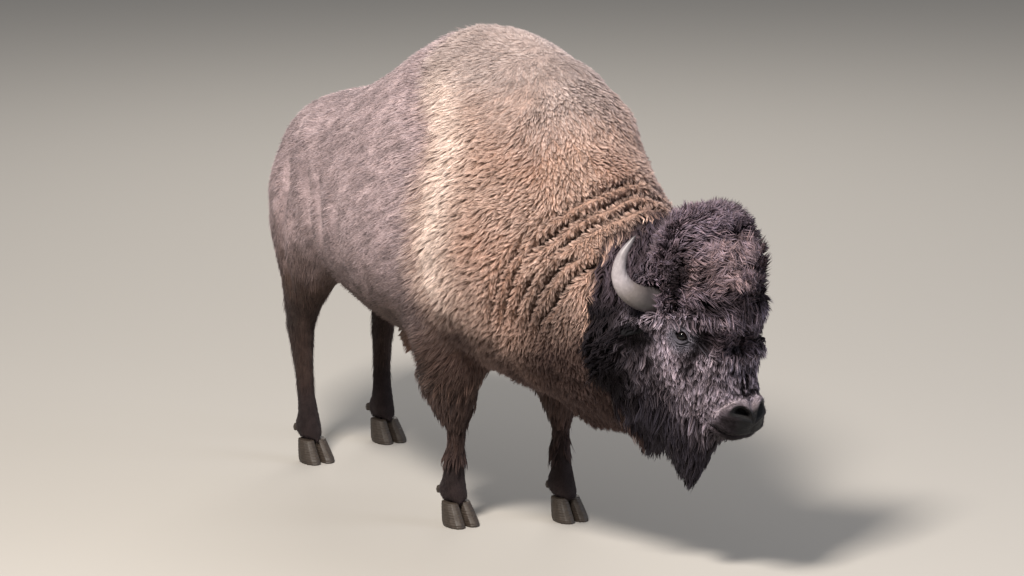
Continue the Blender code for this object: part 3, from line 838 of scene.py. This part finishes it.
def combing(points, normals):
    x, y, z = points.T
    found = regions(points)
    spots = folded(points)
    side, along, out = spots.T
    left = np.sign(inHead(points)[:, 0])[:, None] * headLeft
    ringed = unit(np.stack([0 * x, z - creaseLook["low"], creaseLook["behind"] - y], axis=1))
    flow = np.tile((0.0, 1.0, -0.45), (len(points), 1))
    flow = mix(flow, (0.0, 0.30, -1.0), ramp(1.15, 0.80, z) * ramp(0.65, 0.95, y))
    flow = mix(flow, (0.0, 0.80, -0.75), found["cape"])
    flow = mix(flow, ringed, found["cape"] * ramp(-0.45, -0.75, y))
    # the hair on the front of the hump falls forward, towards the mop
    crest = ramp(-0.05, -0.45, normals[:, 1]) * ramp(0.30, 0.06, np.abs(x - midline)) * found["cape"]
    flow = mix(flow, (0.0, -0.75, -0.75), crest)
    flow = mix(flow, (0.0, 0.10, -1.0), np.maximum(found["foreleg"], found["hindleg"]))
    flow = mix(flow, (0.0, 0.05, -1.0), np.maximum(found["tail"], found["shank"]))
    # the head: fanned from the poll over the mop, down the cheeks, up the nose
    down = -upward - 0.25 * headAhead
    fan = (points - poll) / 0.20 + 0.9 * headAhead
    fan -= 0.4 * ramp(0.10, 0.22, side)[:, None] * left + 0.3 * ramp(0.16, 0.24, side)[:, None] * upward
    head = mix(down + 0.5 * headAlong, headOut * 0.8 + headAlong * 0.6 + 0.30 * left, found["forelock"])
    head = mix(head, fan, found["mop"])
    head = mix(head, -headAlong * 0.6 - 0.2 * upward + 0.4 * left, found["muzzle"])
    head = mix(head, down, np.maximum(found["beard"], ramp(-0.06, -0.12, out) * ramp(0.15, 0.22, along)))
    head = mix(head, left - 0.4 * upward, found["ear"])
    aroundHorn = blob(spots, (0.20, -0.155, -0.02), (0.10, 0.085, 0.085), 0.4)
    head = mix(head, left + 0.25 * headOut, aroundHorn)
    return mix(flow, head, found["head"])


def alongSkin(flow, normals):
    return unit(flow - np.sum(flow * normals, axis=1, keepdims=True) * normals)


# tufts

def readCorners(triangles, name):
    numbers = np.empty(len(triangles) * 3, np.int32)
    triangles.foreach_get(name, numbers)
    return numbers.reshape(-1, 3)


skin.data.calc_loop_triangles()
corners = readCorners(skin.data.loop_triangles, "vertices")
loops = readCorners(skin.data.loop_triangles, "loops")
unwrap = np.empty(len(skin.data.loops) * 2, np.float32)
skin.data.uv_layers["OFBake"].data.foreach_get("uv", unwrap)
unwrap = unwrap.reshape(-1, 2).astype(float)
skinPoints = readPoints(skin.data)
skinNormals = readVectors(skin.data.vertices, "normal")
edges = skinPoints[corners[:, 1:]] - skinPoints[corners[:, :1]]
triangleAreas = np.linalg.norm(np.cross(edges[:, 0], edges[:, 1]), axis=1) / 2
patch = 0.003
amountShare = 1.0


def scatter(count, weights, rng):
    # roots spread evenly over the skin where the weights are high
    share = triangleAreas * weights[corners].mean(axis=1)
    total = np.cumsum(share)
    picks = np.searchsorted(total, (np.arange(count) + rng.random(count)) / count * total[-1])
    picks = np.minimum(picks, len(total) - 1)
    a, b = rng.random((2, count))
    turned = a + b > 1
    a, b = np.where(turned, 1 - a, a), np.where(turned, 1 - b, b)
    parts = np.stack([1 - a - b, a, b], axis=1)[:, :, None]
    roots = (skinPoints[corners[picks]] * parts).sum(axis=1)
    normals = unit((skinNormals[corners[picks]] * parts).sum(axis=1))
    spots = (unwrap[loops[picks]] * parts).sum(axis=1)
    return roots, normals, spots


def nearestOf(points, centres):
    tree = KDTree(len(centres))
    for index, centre in enumerate(centres):
        tree.insert(centre, index)
    tree.balance()
    return np.array([tree.find(point)[1] for point in points])


def valueAt(setting, points):
    # a setting is a number, or a function of the roots' places
    return setting(points) if callable(setting) else np.full(len(points), float(setting))


def tuftFaces(rings):
    # quads round each length, a point at the tip, a lid at the root
    faces = []
    for ring in range(rings - 1):
        for k in range(3):
            after = (k + 1) % 3
            faces.append((ring * 3 + k, ring * 3 + 3 + k, ring * 3 + 3 + after, ring * 3 + after))
    for k in range(3):
        faces.append((rings * 3 - 3 + k, rings * 3, rings * 3 - 3 + (k + 1) % 3))
    faces.append((0, 1, 2))
    return faces


def tuftMesh(name, points, rings):
    # one mesh of many tufts, each a row of points
    count, each = points.shape[:2]
    faces = tuftFaces(rings)
    pattern = np.concatenate(faces)
    numbers = (np.arange(count)[:, None] * each + pattern[None, :]).ravel()
    sizes = np.tile([len(face) for face in faces], count)
    starts = np.concatenate([[0], np.cumsum(sizes)[:-1]])
    built = bpy.data.meshes.new(name)
    built.vertices.add(count * each)
    built.vertices.foreach_set("co", points.astype(np.float32).ravel())
    built.loops.add(len(numbers))
    built.loops.foreach_set("vertex_index", numbers.astype(np.int32))
    built.polygons.add(len(sizes))
    built.polygons.foreach_set("loop_start", starts.astype(np.int32))
    built.update(calc_edges=True)
    built.polygons.foreach_set("use_smooth", np.ones(len(sizes), bool))
    return built, pattern


# what a tuft is like where its own look says nothing else
plainLook = {
    "rings": 3, "bend": 0.3, "stray": 0.2, "swirl": 0.06, "curl": 0.0, "turns": 0.8, "clump": 8,
    "pull": 0.0, "droop": 0.0, "hang": False, "round": 0.6, "uneven": 0.25, "vary": 0.18, "warm": 0.05,
    "soft": 0.55, "thick": 0.45,
}


def growTufts(name, ownLook, weights, material, slot, seed):
    look = plainLook | ownLook
    rng = np.random.default_rng(seed)
    count = int(look["count"] * amountShare)
    rings = look["rings"]
    roots, normals, spots = scatter(count, weights, rng)
    size = valueAt(look["length"], roots) * (1 + look["uneven"] * rng.uniform(-1, 1, count))
    size *= np.clip(1 + 0.25 * lumps(roots, 0.07, seed), 0.5, 1.5)
    width = valueAt(look["width"], roots) * rng.uniform(0.7, 1.25, count)
    wanted = unit(combing(roots, normals))
    tangle = 0.6 * swirl(roots, look["swirl"], seed + 7) + 0.4 * swirl(roots, 0.02, seed + 8)
    tangle += 0.35 * rng.uniform(-1, 1, (count, 3))
    flow = alongSkin(wanted, normals) + valueAt(look["stray"], roots)[:, None] * tangle
    flow = alongSkin(flow, normals)
    lift = valueAt(look["lift"], roots)
    lift *= 1 + 0.35 * rng.uniform(-1, 1, count) + 0.25 * lumps(roots, 0.05, seed + 9)
    steep = np.sin(np.clip(lift, 0.05, 1.5))
    bend = np.full(count, look["bend"])
    if look["hang"]:
        # where the skin faces the way the hair falls, the hair leaves the skin and hangs
        falls = np.sum(wanted * normals, axis=1)
        bend *= 1 - ramp(0.0, 0.3, falls - steep)
        steep = np.maximum(steep, falls)
    flat = np.sqrt(1 - np.minimum(steep, 0.999) ** 2)
    t = np.arange(rings + 1) / rings
    lean = flat[:, None, None] * flow[:, None, :] * t[None, :, None]
    stand = (steep[:, None] * (t - bend[:, None] * t ** 2))[:, :, None] * normals[:, None, :]
    hang = look["droop"] * (t ** 2)[None, :, None] * -upward
    # each lock bends with the body under it, whose roundness is a radius in metres
    travelled = size[:, None] * flat[:, None] * t[None, :]
    dip = (travelled ** 2 / (2 * look["round"]))[:, :, None] * -normals[:, None, :]
    sunk = np.minimum(0.004, 0.06 * size)
    middles = (roots - sunk[:, None] * normals)[:, None, :] + dip
    middles += size[:, None, None] * (lean + stand + hang)
    # neighbours share a lock: its curl, its shade and where its tip leans
    centres = rng.choice(count, max(2, count // look["clump"]), replace=False)
    clump = nearestOf(roots, roots[centres])
    members = np.bincount(clump, minlength=len(centres))[:, None]
    phase = rng.uniform(0, 2 * pi, len(centres))[clump] + rng.uniform(-0.7, 0.7, count)
    turns = look["turns"] * rng.uniform(0.7, 1.3, len(centres))[clump]
    angle = phase[:, None] + 2 * pi * turns[:, None] * t[None, :]
    wave = (valueAt(look["curl"], roots) * size * rng.uniform(0.6, 1.4, len(centres))[clump])[:, None]
    across = np.cross(flow, normals)
    middles += (wave * (np.sin(angle) - np.sin(phase)[:, None]))[:, :, None] * across[:, None, :]
    middles += (0.5 * wave * (np.cos(angle) - np.cos(phase)[:, None]) * t)[:, :, None] * normals[:, None, :]
    for ring in range(1, rings + 1):
        mean = np.stack([np.bincount(clump, middles[:, ring, k], len(centres)) for k in range(3)], axis=1)
        pulled = (mean / np.maximum(members, 1))[clump]
        middles[:, ring] = mix(middles[:, ring], pulled, look["pull"] * t[ring])
    # a three-sided lock round its middle line, widest a third of the way up
    heading = unit(np.gradient(middles, axis=1))
    sideways = unit(np.cross(heading, normals[:, None, :] + 1e-4))
    over = np.cross(sideways, heading)
    roll = rng.uniform(-0.5, 0.5, count)[:, None, None]
    turned, square = np.cos(roll), np.sin(roll)
    sideways, over = sideways * turned + over * square, over * turned - sideways * square
    taper = np.interp(t, (0, 0.35, 0.7, 1), (0.65, 1.0, 0.72, 0))
    wide = np.array((-0.5, 0.5, 0.0))[:, None] * sideways[:, :rings, None, :]
    tall = np.array((-0.35, -0.35, 0.65))[:, None] * over[:, :rings, None, :]
    widths = (width[:, None] * taper[None, :rings])[:, :, None, None]
    body = middles[:, :rings, None, :] + widths * (wide + look["thick"] * tall)
    points = np.concatenate([body.reshape(count, rings * 3, 3), middles[:, rings:, :]], axis=1)
    built, pattern = tuftMesh(name, points, rings)
    each = points.shape[1]
    reach = np.concatenate([np.repeat(t[:rings], 3), [1.0]])
    # each tuft has a small patch of the skin's unwrap, at its root
    cornerAcross = np.concatenate([np.tile((0.0, 0.5, 1.0), rings), [0.5]])
    offsets = patch * (np.stack([reach, cornerAcross], axis=1) - 0.5)
    placed = spots[:, None, :] + offsets[pattern][None, :, :]
    built.uv_layers.new(name="OFBake").data.foreach_set("uv", placed.astype(np.float32).ravel())
    change = 0.7 * rng.normal(0, 1, count) + 0.7 * rng.normal(0, 1, len(centres))[clump]
    tint = markingsAndPaintedShade(roots) * (1 + look["vary"] * change.clip(-2, 2))[:, None]
    warm = look["warm"] * rng.uniform(-1, 1, count)[:, None] * np.array((1.0, 0.1, -0.9))
    tint = np.clip(tint * (1 + warm), 0, 1)
    putAttribute(built, "tint", "FLOAT_COLOR", np.repeat(tint, each, axis=0))
    putAttribute(built, "reach", "FLOAT", np.tile(reach, count))
    # soft shading: each lock's own normals are eased towards those of the skin below it
    rounded = np.concatenate([unit(wide + tall).reshape(count, rings * 3, 3), over[:, rings:, :]], axis=1)
    eased = unit(rounded * (1 - look["soft"]) + normals[:, None, :] * look["soft"])
    built.normals_split_custom_set_from_vertices(eased.reshape(-1, 3).astype(np.float32))
    piece = bpy.data.objects.new(name, built)
    bpy.context.scene.collection.objects.link(piece)
    finishPiece(piece, material, slot)
    print(name, count, "tufts,", count * (6 * (rings - 1) + 4), "triangles")


def nearEdge(points):
    # 1 at the rear edge of the cape, 0 a hand's breadth to either side
    return ridge(regions(points)["capeY"], 0.16)


def parted(points):
    return 1 - 0.75 * creases(points)


def nearMuzzle(points):
    return ramp(0.17, 0.26, inHead(points)[:, 1])


def shortLip(points):
    # the hair shortens towards the lower lip
    spots = inHead(points)
    return 1 - 0.78 * ramp(0.21, 0.29, spots[:, 1] + 0.3 * spots[:, 2]) * ramp(-0.22, -0.15, spots[:, 2])


def humpFront(points):
    # the ridge between hump and mop, where the lie of the coat divides
    return blob(points, (-0.01, -0.83, 1.42), (0.17, 0.17, 0.17), 0.3)


def onHump(points):
    return ramp(1.40, 1.62, points[:, 2])


shoulderLook = {
    "count": 34000, "rings": 1, "bend": 0.40, "stray": 0.42, "clump": 12, "pull": 0.50, "swirl": 0.05,
    "vary": 0.16, "uneven": 0.35,
    "width": lambda p: 0.0056 - 0.0012 * ramp(1.38, 1.55, p[:, 2]),
    "length": lambda p: (0.044 + 0.020 * nearEdge(p) - 0.010 * ramp(1.38, 1.55, p[:, 2])) * parted(p),
    "lift": lambda p: mix(0.85, 0.42, np.maximum(ramp(-0.50, -0.10, p[:, 1]), onHump(p))),
    "curl": lambda p: mix(0.16, 0.06, np.maximum(ramp(-0.50, -0.20, p[:, 1]), 0.6 * onHump(p))),
}
neckLook = {
    "count": 35000, "rings": 1, "width": 0.0058, "bend": 0.40, "curl": 0.16, "turns": 0.9, "clump": 9,
    "pull": 0.66, "swirl": 0.04, "vary": 0.22, "uneven": 0.35, "soft": 0.42,
    "length": lambda p: 0.037 * parted(p),
    "lift": lambda p: 0.95 - 0.30 * ramp(1.30, 1.55, p[:, 2]) + 0.20 * humpFront(p),
    "stray": lambda p: 0.62 + 0.5 * humpFront(p),
}
crownLook = {
    "count": 19500, "rings": 2, "width": 0.0054, "stray": 0.30, "clump": 10, "pull": 0.50, "swirl": 0.05,
    "soft": 0.28, "warm": 0.08, "round": 0.20, "vary": 0.40,
    "curl": lambda p: mix(0.07, 0.13, ramp(-0.26, -0.16, inHead(p)[:, 1])),
    "length": lambda p: (0.090 * (1 - 0.45 * hollowPlaces(p)) * (1 + 0.25 * underBrow(p))
                         * (1 - 0.6 * nearLids(p))),
    "lift": lambda p: mix(1.05, 0.75, ramp(-0.33, -0.20, inHead(p)[:, 1])),
}
browLook = {
    "count": 2600, "width": 0.0068, "lift": 0.72, "bend": 0.35, "stray": 0.45, "curl": 0.12, "turns": 1.0,
    "clump": 9, "pull": 0.62, "swirl": 0.05, "soft": 0.25, "round": 0.2, "vary": 0.45,
    "length": lambda p: 0.074 * (1 - 0.92 * nearLids(p)) * (1 - 0.3 * underBrow(p)),
}
faceLook = {
    "count": 19000, "rings": 2, "width": 0.0040, "bend": 0.40, "stray": 0.36, "turns": 0.6, "clump": 12,
    "pull": 0.60, "swirl": 0.035, "soft": 0.25, "round": 0.25, "vary": 0.45,
    "length": lambda p: (0.052 * (1 - 0.89 * nearLids(p)) * (1 - 0.4 * tearFurrow(p))
                         * (1 - 0.6 * nearMuzzle(p))),
    "lift": lambda p: mix(0.60, 0.25, nearLids(p)),
    "curl": lambda p: mix(0.13, 0.04, nearLids(p)),
}
muzzleLook = {
    "count": 9500, "rings": 1, "length": 0.017, "width": 0.0028, "lift": 0.40, "stray": 0.25, "soft": 0.5,
    "vary": 0.40,
}
beardLook = {
    "count": 4400, "width": 0.0075, "lift": 0.34, "stray": 0.28, "hang": True, "curl": 0.07, "turns": 1.0,
    "droop": 0.15, "clump": 10, "pull": 0.65, "soft": 0.4, "vary": 0.40,
    "length": lambda p: mix(0.070, 0.095, ramp(0.42, 0.56, p[:, 2])) * shortLip(p),
}
cheekLook = {
    "count": 5200, "width": 0.007, "lift": 0.50, "bend": 0.35, "stray": 0.40, "curl": 0.12, "turns": 0.9,
    "droop": 0.10, "clump": 9, "pull": 0.6, "soft": 0.4, "round": 0.3, "hang": True,
    "length": lambda p: 0.060 * shortLip(p),
}
chapsLook = {
    "count": 3600, "length": 0.072, "width": 0.0084, "lift": 0.30, "bend": 0.35, "stray": 0.25,
    "curl": 0.06, "droop": 0.15, "pull": 0.55, "hang": True,
}
shankLook = {
    "count": 8000, "rings": 1, "length": 0.016, "width": 0.0038, "lift": 0.26, "stray": 0.15, "soft": 0.6,
}
rearLook = {
    "count": 47000, "rings": 1, "stray": 0.24, "soft": 0.50, "vary": 0.30, "uneven": 0.40,
    "width": lambda p: 0.0052 + 0.0012 * nearEdge(p),
    "length": lambda p: 0.034 + 0.026 * nearEdge(p) + 0.010 * ramp(0.80, 0.60, p[:, 2]),
    "lift": lambda p: 0.34 + 0.10 * nearEdge(p),
}
tailLook = {
    "count": 1700, "width": 0.006, "lift": 0.20, "stray": 0.15, "curl": 0.04, "droop": 0.3, "pull": 0.4,
    "hang": True,
    "length": lambda p: mix(0.030, 0.085, ramp(1.0, 0.86, p[:, 2])),
}
sheathLook = {
    "count": 700, "length": 0.070, "width": 0.008, "lift": 0.4, "bend": 0.2, "curl": 0.05, "droop": 0.2,
    "pull": 0.6, "hang": True,
}

# how thickly each coat grows at each point of the skin
grown = regions(skinPoints)
notBare = (1 - np.maximum(*bareness(skinPoints))) ** 2
onLeft = ramp(-0.001, 0.001, skinPoints[:, 0] - midline - 0.30 * ramp(-0.55, -1.25, skinPoints[:, 1]))
headward = grown["head"]
capeward = grown["cape"] * (1 - headward) * (1 - grown["foreleg"])
forward = ramp(-0.52, -0.56, skinPoints[:, 1])
shoulders = capeward * (1 - forward)
neck = capeward * forward * (1 - creases(skinPoints)) ** 2
# hair crowds to a whorl high on the front of the mop
whorl = blob(inHead(skinPoints), (0.03, -0.25, 0.26), (0.09, 0.09, 0.09), 0.2)
openLids = 1 - 0.85 * nearEyes(skinPoints, 0.048)
face = grown["face"] * headward * notBare * openLids * (1 - grown["ear"])
muzzle = np.maximum(grown["muzzle"], grown["eyeGap"] * 0.8) * headward * notBare
cheeks = headward * (1 - grown["mop"]) * (1 - grown["forelock"]) * (1 - grown["face"])
cheeks = cheeks * (1 - grown["beard"]) * (1 - grown["muzzle"])
rearward = (1 - grown["cape"]) * (1 - headward) * (1 - grown["tail"]) * (1 - grown["shank"])
coats = [
    ("coat_shoulder_left", shoulderLook, shoulders * onLeft, "wool", "cape_wool"),
    ("coat_shoulder_right", shoulderLook, shoulders * (1 - onLeft), "wool", "cape_wool"),
    ("coat_neck_left", neckLook, neck * onLeft, "wool", "cape_wool"),
    ("coat_neck_right", neckLook, neck * (1 - onLeft), "wool", "cape_wool"),
    ("coat_crown", crownLook, grown["mop"] * headward * (1 + 2 * whorl), "dark", "dark_wool"),
    ("coat_brow", browLook, grown["forelock"] * headward * (1 - nearLids(skinPoints)), "dark", "dark_wool"),
    ("coat_face", faceLook, face, "dark", "dark_wool"),
    ("coat_muzzle", muzzleLook, muzzle, "dark", "dark_wool"),
    ("coat_beard", beardLook, grown["beard"], "dark", "dark_wool"),
    ("coat_cheek", cheekLook, cheeks, "dark", "dark_wool"),
    ("coat_chaps", chapsLook, grown["foreleg"] * (1 - grown["shank"]), "dark", "dark_wool"),
    ("coat_shanks", shankLook, grown["shank"] * (1 - headward), "short", "dark_wool"),
    ("coat_rear", rearLook, rearward * (1 - grown["sheath"]), "short", "short_coat"),
    ("coat_tail", tailLook, grown["tail"] * (1 + 2 * grown["tassel"]), "dark", "dark_wool"),
    ("coat_sheath", sheathLook, grown["sheath"], "dark", "dark_wool"),
]
for number, (name, look, weights, material, slot) in enumerate(coats):
    growTufts(name, look, weights, material, slot, 1000 + 31 * number)


# horns: a swept sheath, smooth and ringed at the root

# places in the head's axes, and the radius at each
hornLine = [(0.095, -0.145, -0.022, 0.047), (0.170, -0.150, -0.030, 0.047), (0.232, -0.172, -0.040, 0.0425),
            (0.282, -0.215, -0.040, 0.0355), (0.303, -0.268, -0.022, 0.027), (0.292, -0.318, 0.014, 0.0175),
            (0.262, -0.352, 0.054, 0.008), (0.250, -0.362, 0.068, 0.0025)]
hornLook = {"around": 40, "steps": 120, "ring": 0.00035, "apart": 0.011, "ridge": 0.0004, "ridges": 9}


def smoothLine(rows, steps):
    # a smooth curve through the rows
    rows = np.array(rows, float)
    padded = np.concatenate([2 * rows[:1] - rows[1:2], rows, 2 * rows[-1:] - rows[-2:-1]])
    where = np.linspace(0, len(rows) - 1, steps)
    start = np.minimum(where.astype(int), len(rows) - 2)
    t = (where - start)[:, None]
    a, b, c, d = (padded[start + k] for k in range(4))
    curved = (2 * a - 5 * b + 4 * c - d) * t ** 2 + (3 * b - a - 3 * c + d) * t ** 3
    return 0.5 * (2 * b + (c - a) * t + curved)


def makeHorn(hand, side):
    steps, around = hornLook["steps"], hornLook["around"]
    line = smoothLine(hornLine, steps)
    centres = fromHead(line[:, :3] * np.array((hand, 1, 1)))
    radii = np.maximum(line[:, 3], 0.002) * 0.995
    heading = unit(np.gradient(centres, axis=0))
    across = unit(np.cross(heading, headAlong))
    over = np.cross(across, heading)
    travelled = np.concatenate([[0], np.cumsum(np.linalg.norm(np.diff(centres, axis=0), axis=1))])
    reach = travelled / travelled[-1]
    # a flat grid is rolled up: a column for each turn, a row for each step and one more at either end
    bpy.ops.object.select_all(action="DESELECT")
    bpy.ops.mesh.primitive_grid_add(x_subdivisions=around, y_subdivisions=steps + 1, size=1, calc_uvs=False)
    horn = bpy.context.view_layer.objects.active
    horn.name = "horn_sheath_" + side
    horn.data.name = horn.name
    flat = readPoints(horn.data) + 0.5
    angle = np.rint(flat[:, 0] * around) % around / around * 2 * pi
    row = np.rint(flat[:, 1] * (steps + 1)).astype(int) - 1
    step = np.clip(row, 0, steps - 1)
    rings = hornLook["ring"] * np.sin(2 * pi * travelled / hornLook["apart"]) * ramp(0.75, 0.35, reach)
    ridges = hornLook["ridge"] * np.sin(angle * hornLook["ridges"]) * ramp(0.95, 0.5, reach)[step]
    thick = np.where(row == step, (radii + rings)[step] + ridges, 0)
    spokes = np.cos(angle)[:, None] * across[step] + np.sin(angle)[:, None] * over[step]
    writePoints(horn.data, centres[step] + thick[:, None] * spokes)
    putAttribute(horn.data, "reach", "FLOAT", reach[step])
    chooseOnly(horn)
    bpy.ops.object.mode_set(mode="EDIT")
    bpy.ops.mesh.select_all(action="SELECT")
    bpy.ops.mesh.remove_doubles(threshold=0.00001)
    bpy.ops.mesh.normals_make_consistent(inside=False)
    bpy.ops.object.mode_set(mode="OBJECT")
    bpy.ops.object.shade_smooth()
    finishPiece(horn, "horn", "horn", "horn_" + side)


makeHorn(1, "left")
makeHorn(-1, "right")
print("horns made")


# eyes

eyeLook = {"segments": 64, "rings": 48, "bulge": 0.0012, "iris": 0.72, "pupilLong": 1.7, "pupilHigh": 0.75}


def makeEye(hand, side, centre):
    facing, slit, across = eyeAxes(hand)
    bpy.ops.object.select_all(action="DESELECT")
    bpy.ops.mesh.primitive_uv_sphere_add(segments=eyeLook["segments"], ring_count=eyeLook["rings"],
                                         radius=eyeRadius, location=centre)
    eye = bpy.context.view_layer.objects.active
    eye.name = "eyeball_" + side
    eye.data.name = eye.name
    bpy.ops.object.transform_apply(location=True, rotation=True, scale=True)
    points = readPoints(eye.data)
    gap = points - centre
    p, q = gap @ slit, gap @ across
    front = ramp(0.2, 0.8, (gap @ facing) / eyeRadius)
    reach = np.hypot(p, q) / eyeRadius
    bulge = eyeLook["bulge"] * (1 - ramp(0.35, eyeLook["iris"], reach)) * front
    writePoints(eye.data, points + bulge[:, None] * facing)
    # the pupil is a level oval, the iris round
    oval = np.hypot(p / eyeLook["pupilLong"], q / eyeLook["pupilHigh"]) / eyeRadius / 0.36 * 0.40
    iris = np.where(reach < eyeLook["iris"], np.maximum(np.minimum(oval, 0.60), reach * 0.9), reach)
    putAttribute(eye.data, "iris", "FLOAT", np.where(front > 0, iris, 1.0))
    bpy.ops.object.shade_smooth()
    finishPiece(eye, "eye", "eye", "eye_" + side)


makeEye(1, "left", leftEye)
makeEye(-1, "right", rightEye)
print("eyes made")


# hooves and dewclaws: the CAD's claws, smoothed, with growth rings

clawLook = {
    "voxel": {"hoof": 0.0028, "dewclaw": 0.0018}, "smoothing": 6, "ring": 0.0003, "apart": 0.011,
    "narrowing": 0.45, "droop": 0.010,
}


def makeClaw(node):
    kind = "hoof" if node.startswith("hoof") else "dewclaw"
    claw = remeshed(joinCopies([node], node + "_wall"), clawLook["voxel"][kind], clawLook["smoothing"])
    points = readPoints(claw.data)
    low = points[:, 2].min()
    height = points[:, 2] + 0.10 * points[:, 1] + 0.002 * lumps(points, 0.03, 61)
    rings = clawLook["ring"] * np.sin(2 * pi * height / clawLook["apart"])
    rings *= ramp(low + 0.004, low + 0.010, points[:, 2])
    points = points + readVectors(claw.data.vertices, "normal") * rings[:, None]
    if kind == "dewclaw":
        # the small claw droops and narrows away from the leg
        outer = (points[:, 1] - points[:, 1].min()) / np.ptp(points[:, 1])
        centre = points.mean(axis=0)
        narrower = 1 - clawLook["narrowing"] * outer ** 2
        points[:, 0] = centre[0] + (points[:, 0] - centre[0]) * narrower
        points[:, 2] = centre[2] + (points[:, 2] - centre[2]) * narrower - clawLook["droop"] * outer
    writePoints(claw.data, points)
    chooseOnly(claw)
    bpy.ops.object.shade_smooth()
    finishPiece(claw, "hoof", "hoof", node)


for node in clawNodes:
    makeClaw(node)
print("hooves made")


# floor, light and camera

def makeFloor():
    bpy.ops.object.select_all(action="DESELECT")
    bpy.ops.mesh.primitive_plane_add(size=160)
    floor = bpy.context.view_layer.objects.active
    floor.name = "floor"
    material, surface = newMaterial("Pale matt studio floor", Roughness=0.9, Specular_IOR_Level=0.15)
    surface.inputs["Base Color"].default_value = rgba("#a9a6a1")
    floor.data.materials.append(material)


lightLooks = {
    "key": {"toward": (-0.66, -0.48, 0.95), "size": 1.8, "watts": 1520, "colour": "#fff6ec"},
    "fill": {"toward": (0.9, -0.7, 0.4), "size": 5.0, "watts": 300, "colour": "#e9efff"},
    "back": {"toward": (0.5, 0.9, 0.7), "size": 4.0, "watts": 320, "colour": "#fff8f0"},
}
lightDistance = 9.0


def makeLight(name, look):
    bpy.ops.object.light_add(type="AREA")
    lamp = bpy.context.view_layer.objects.active
    lamp.name = name
    lamp.data.size = look["size"]
    lamp.data.energy = look["watts"]
    lamp.data.color = tuple(hexColour(look["colour"]))
    toward = unit(np.array(look["toward"], float))
    lamp.location = np.array((0, -0.2, 0.9)) + toward * lightDistance
    lamp.rotation_euler = Vector(-toward).to_track_quat("-Z", "Y").to_euler()


def makeWorld():
    world = bpy.data.worlds.new("studio")
    bpy.context.scene.world = world
    world.use_nodes = True
    backdrop = world.node_tree.nodes["Background"]
    backdrop.inputs["Color"].default_value = rgba("#e4e8ee")
    backdrop.inputs["Strength"].default_value = 0.30


cameraLook = {
    "azimuth": -31, "elevation": 13, "away": 22.0, "lens": 227.4, "shiftX": -0.167, "shiftY": 0.047,
}


def makeCamera():
    turn, rise = radians(cameraLook["azimuth"]), radians(cameraLook["elevation"])
    back = np.array((sin(turn) * cos(rise), -cos(turn) * cos(rise), sin(rise)))
    bpy.ops.object.camera_add(location=rightEye + back * cameraLook["away"],
                              rotation=(pi / 2 - rise, 0, turn))
    camera = bpy.context.view_layer.objects.active
    camera.name = "camera"
    camera.data.lens = cameraLook["lens"]
    camera.data.sensor_width = 36
    camera.data.shift_x = cameraLook["shiftX"]
    camera.data.shift_y = cameraLook["shiftY"]
    camera.data.clip_end = 300
    bpy.context.scene.camera = camera


makeFloor()
for name, look in lightLooks.items():
    makeLight(name, look)
makeWorld()
makeCamera()
bpy.context.scene.view_settings.view_transform = "Standard"
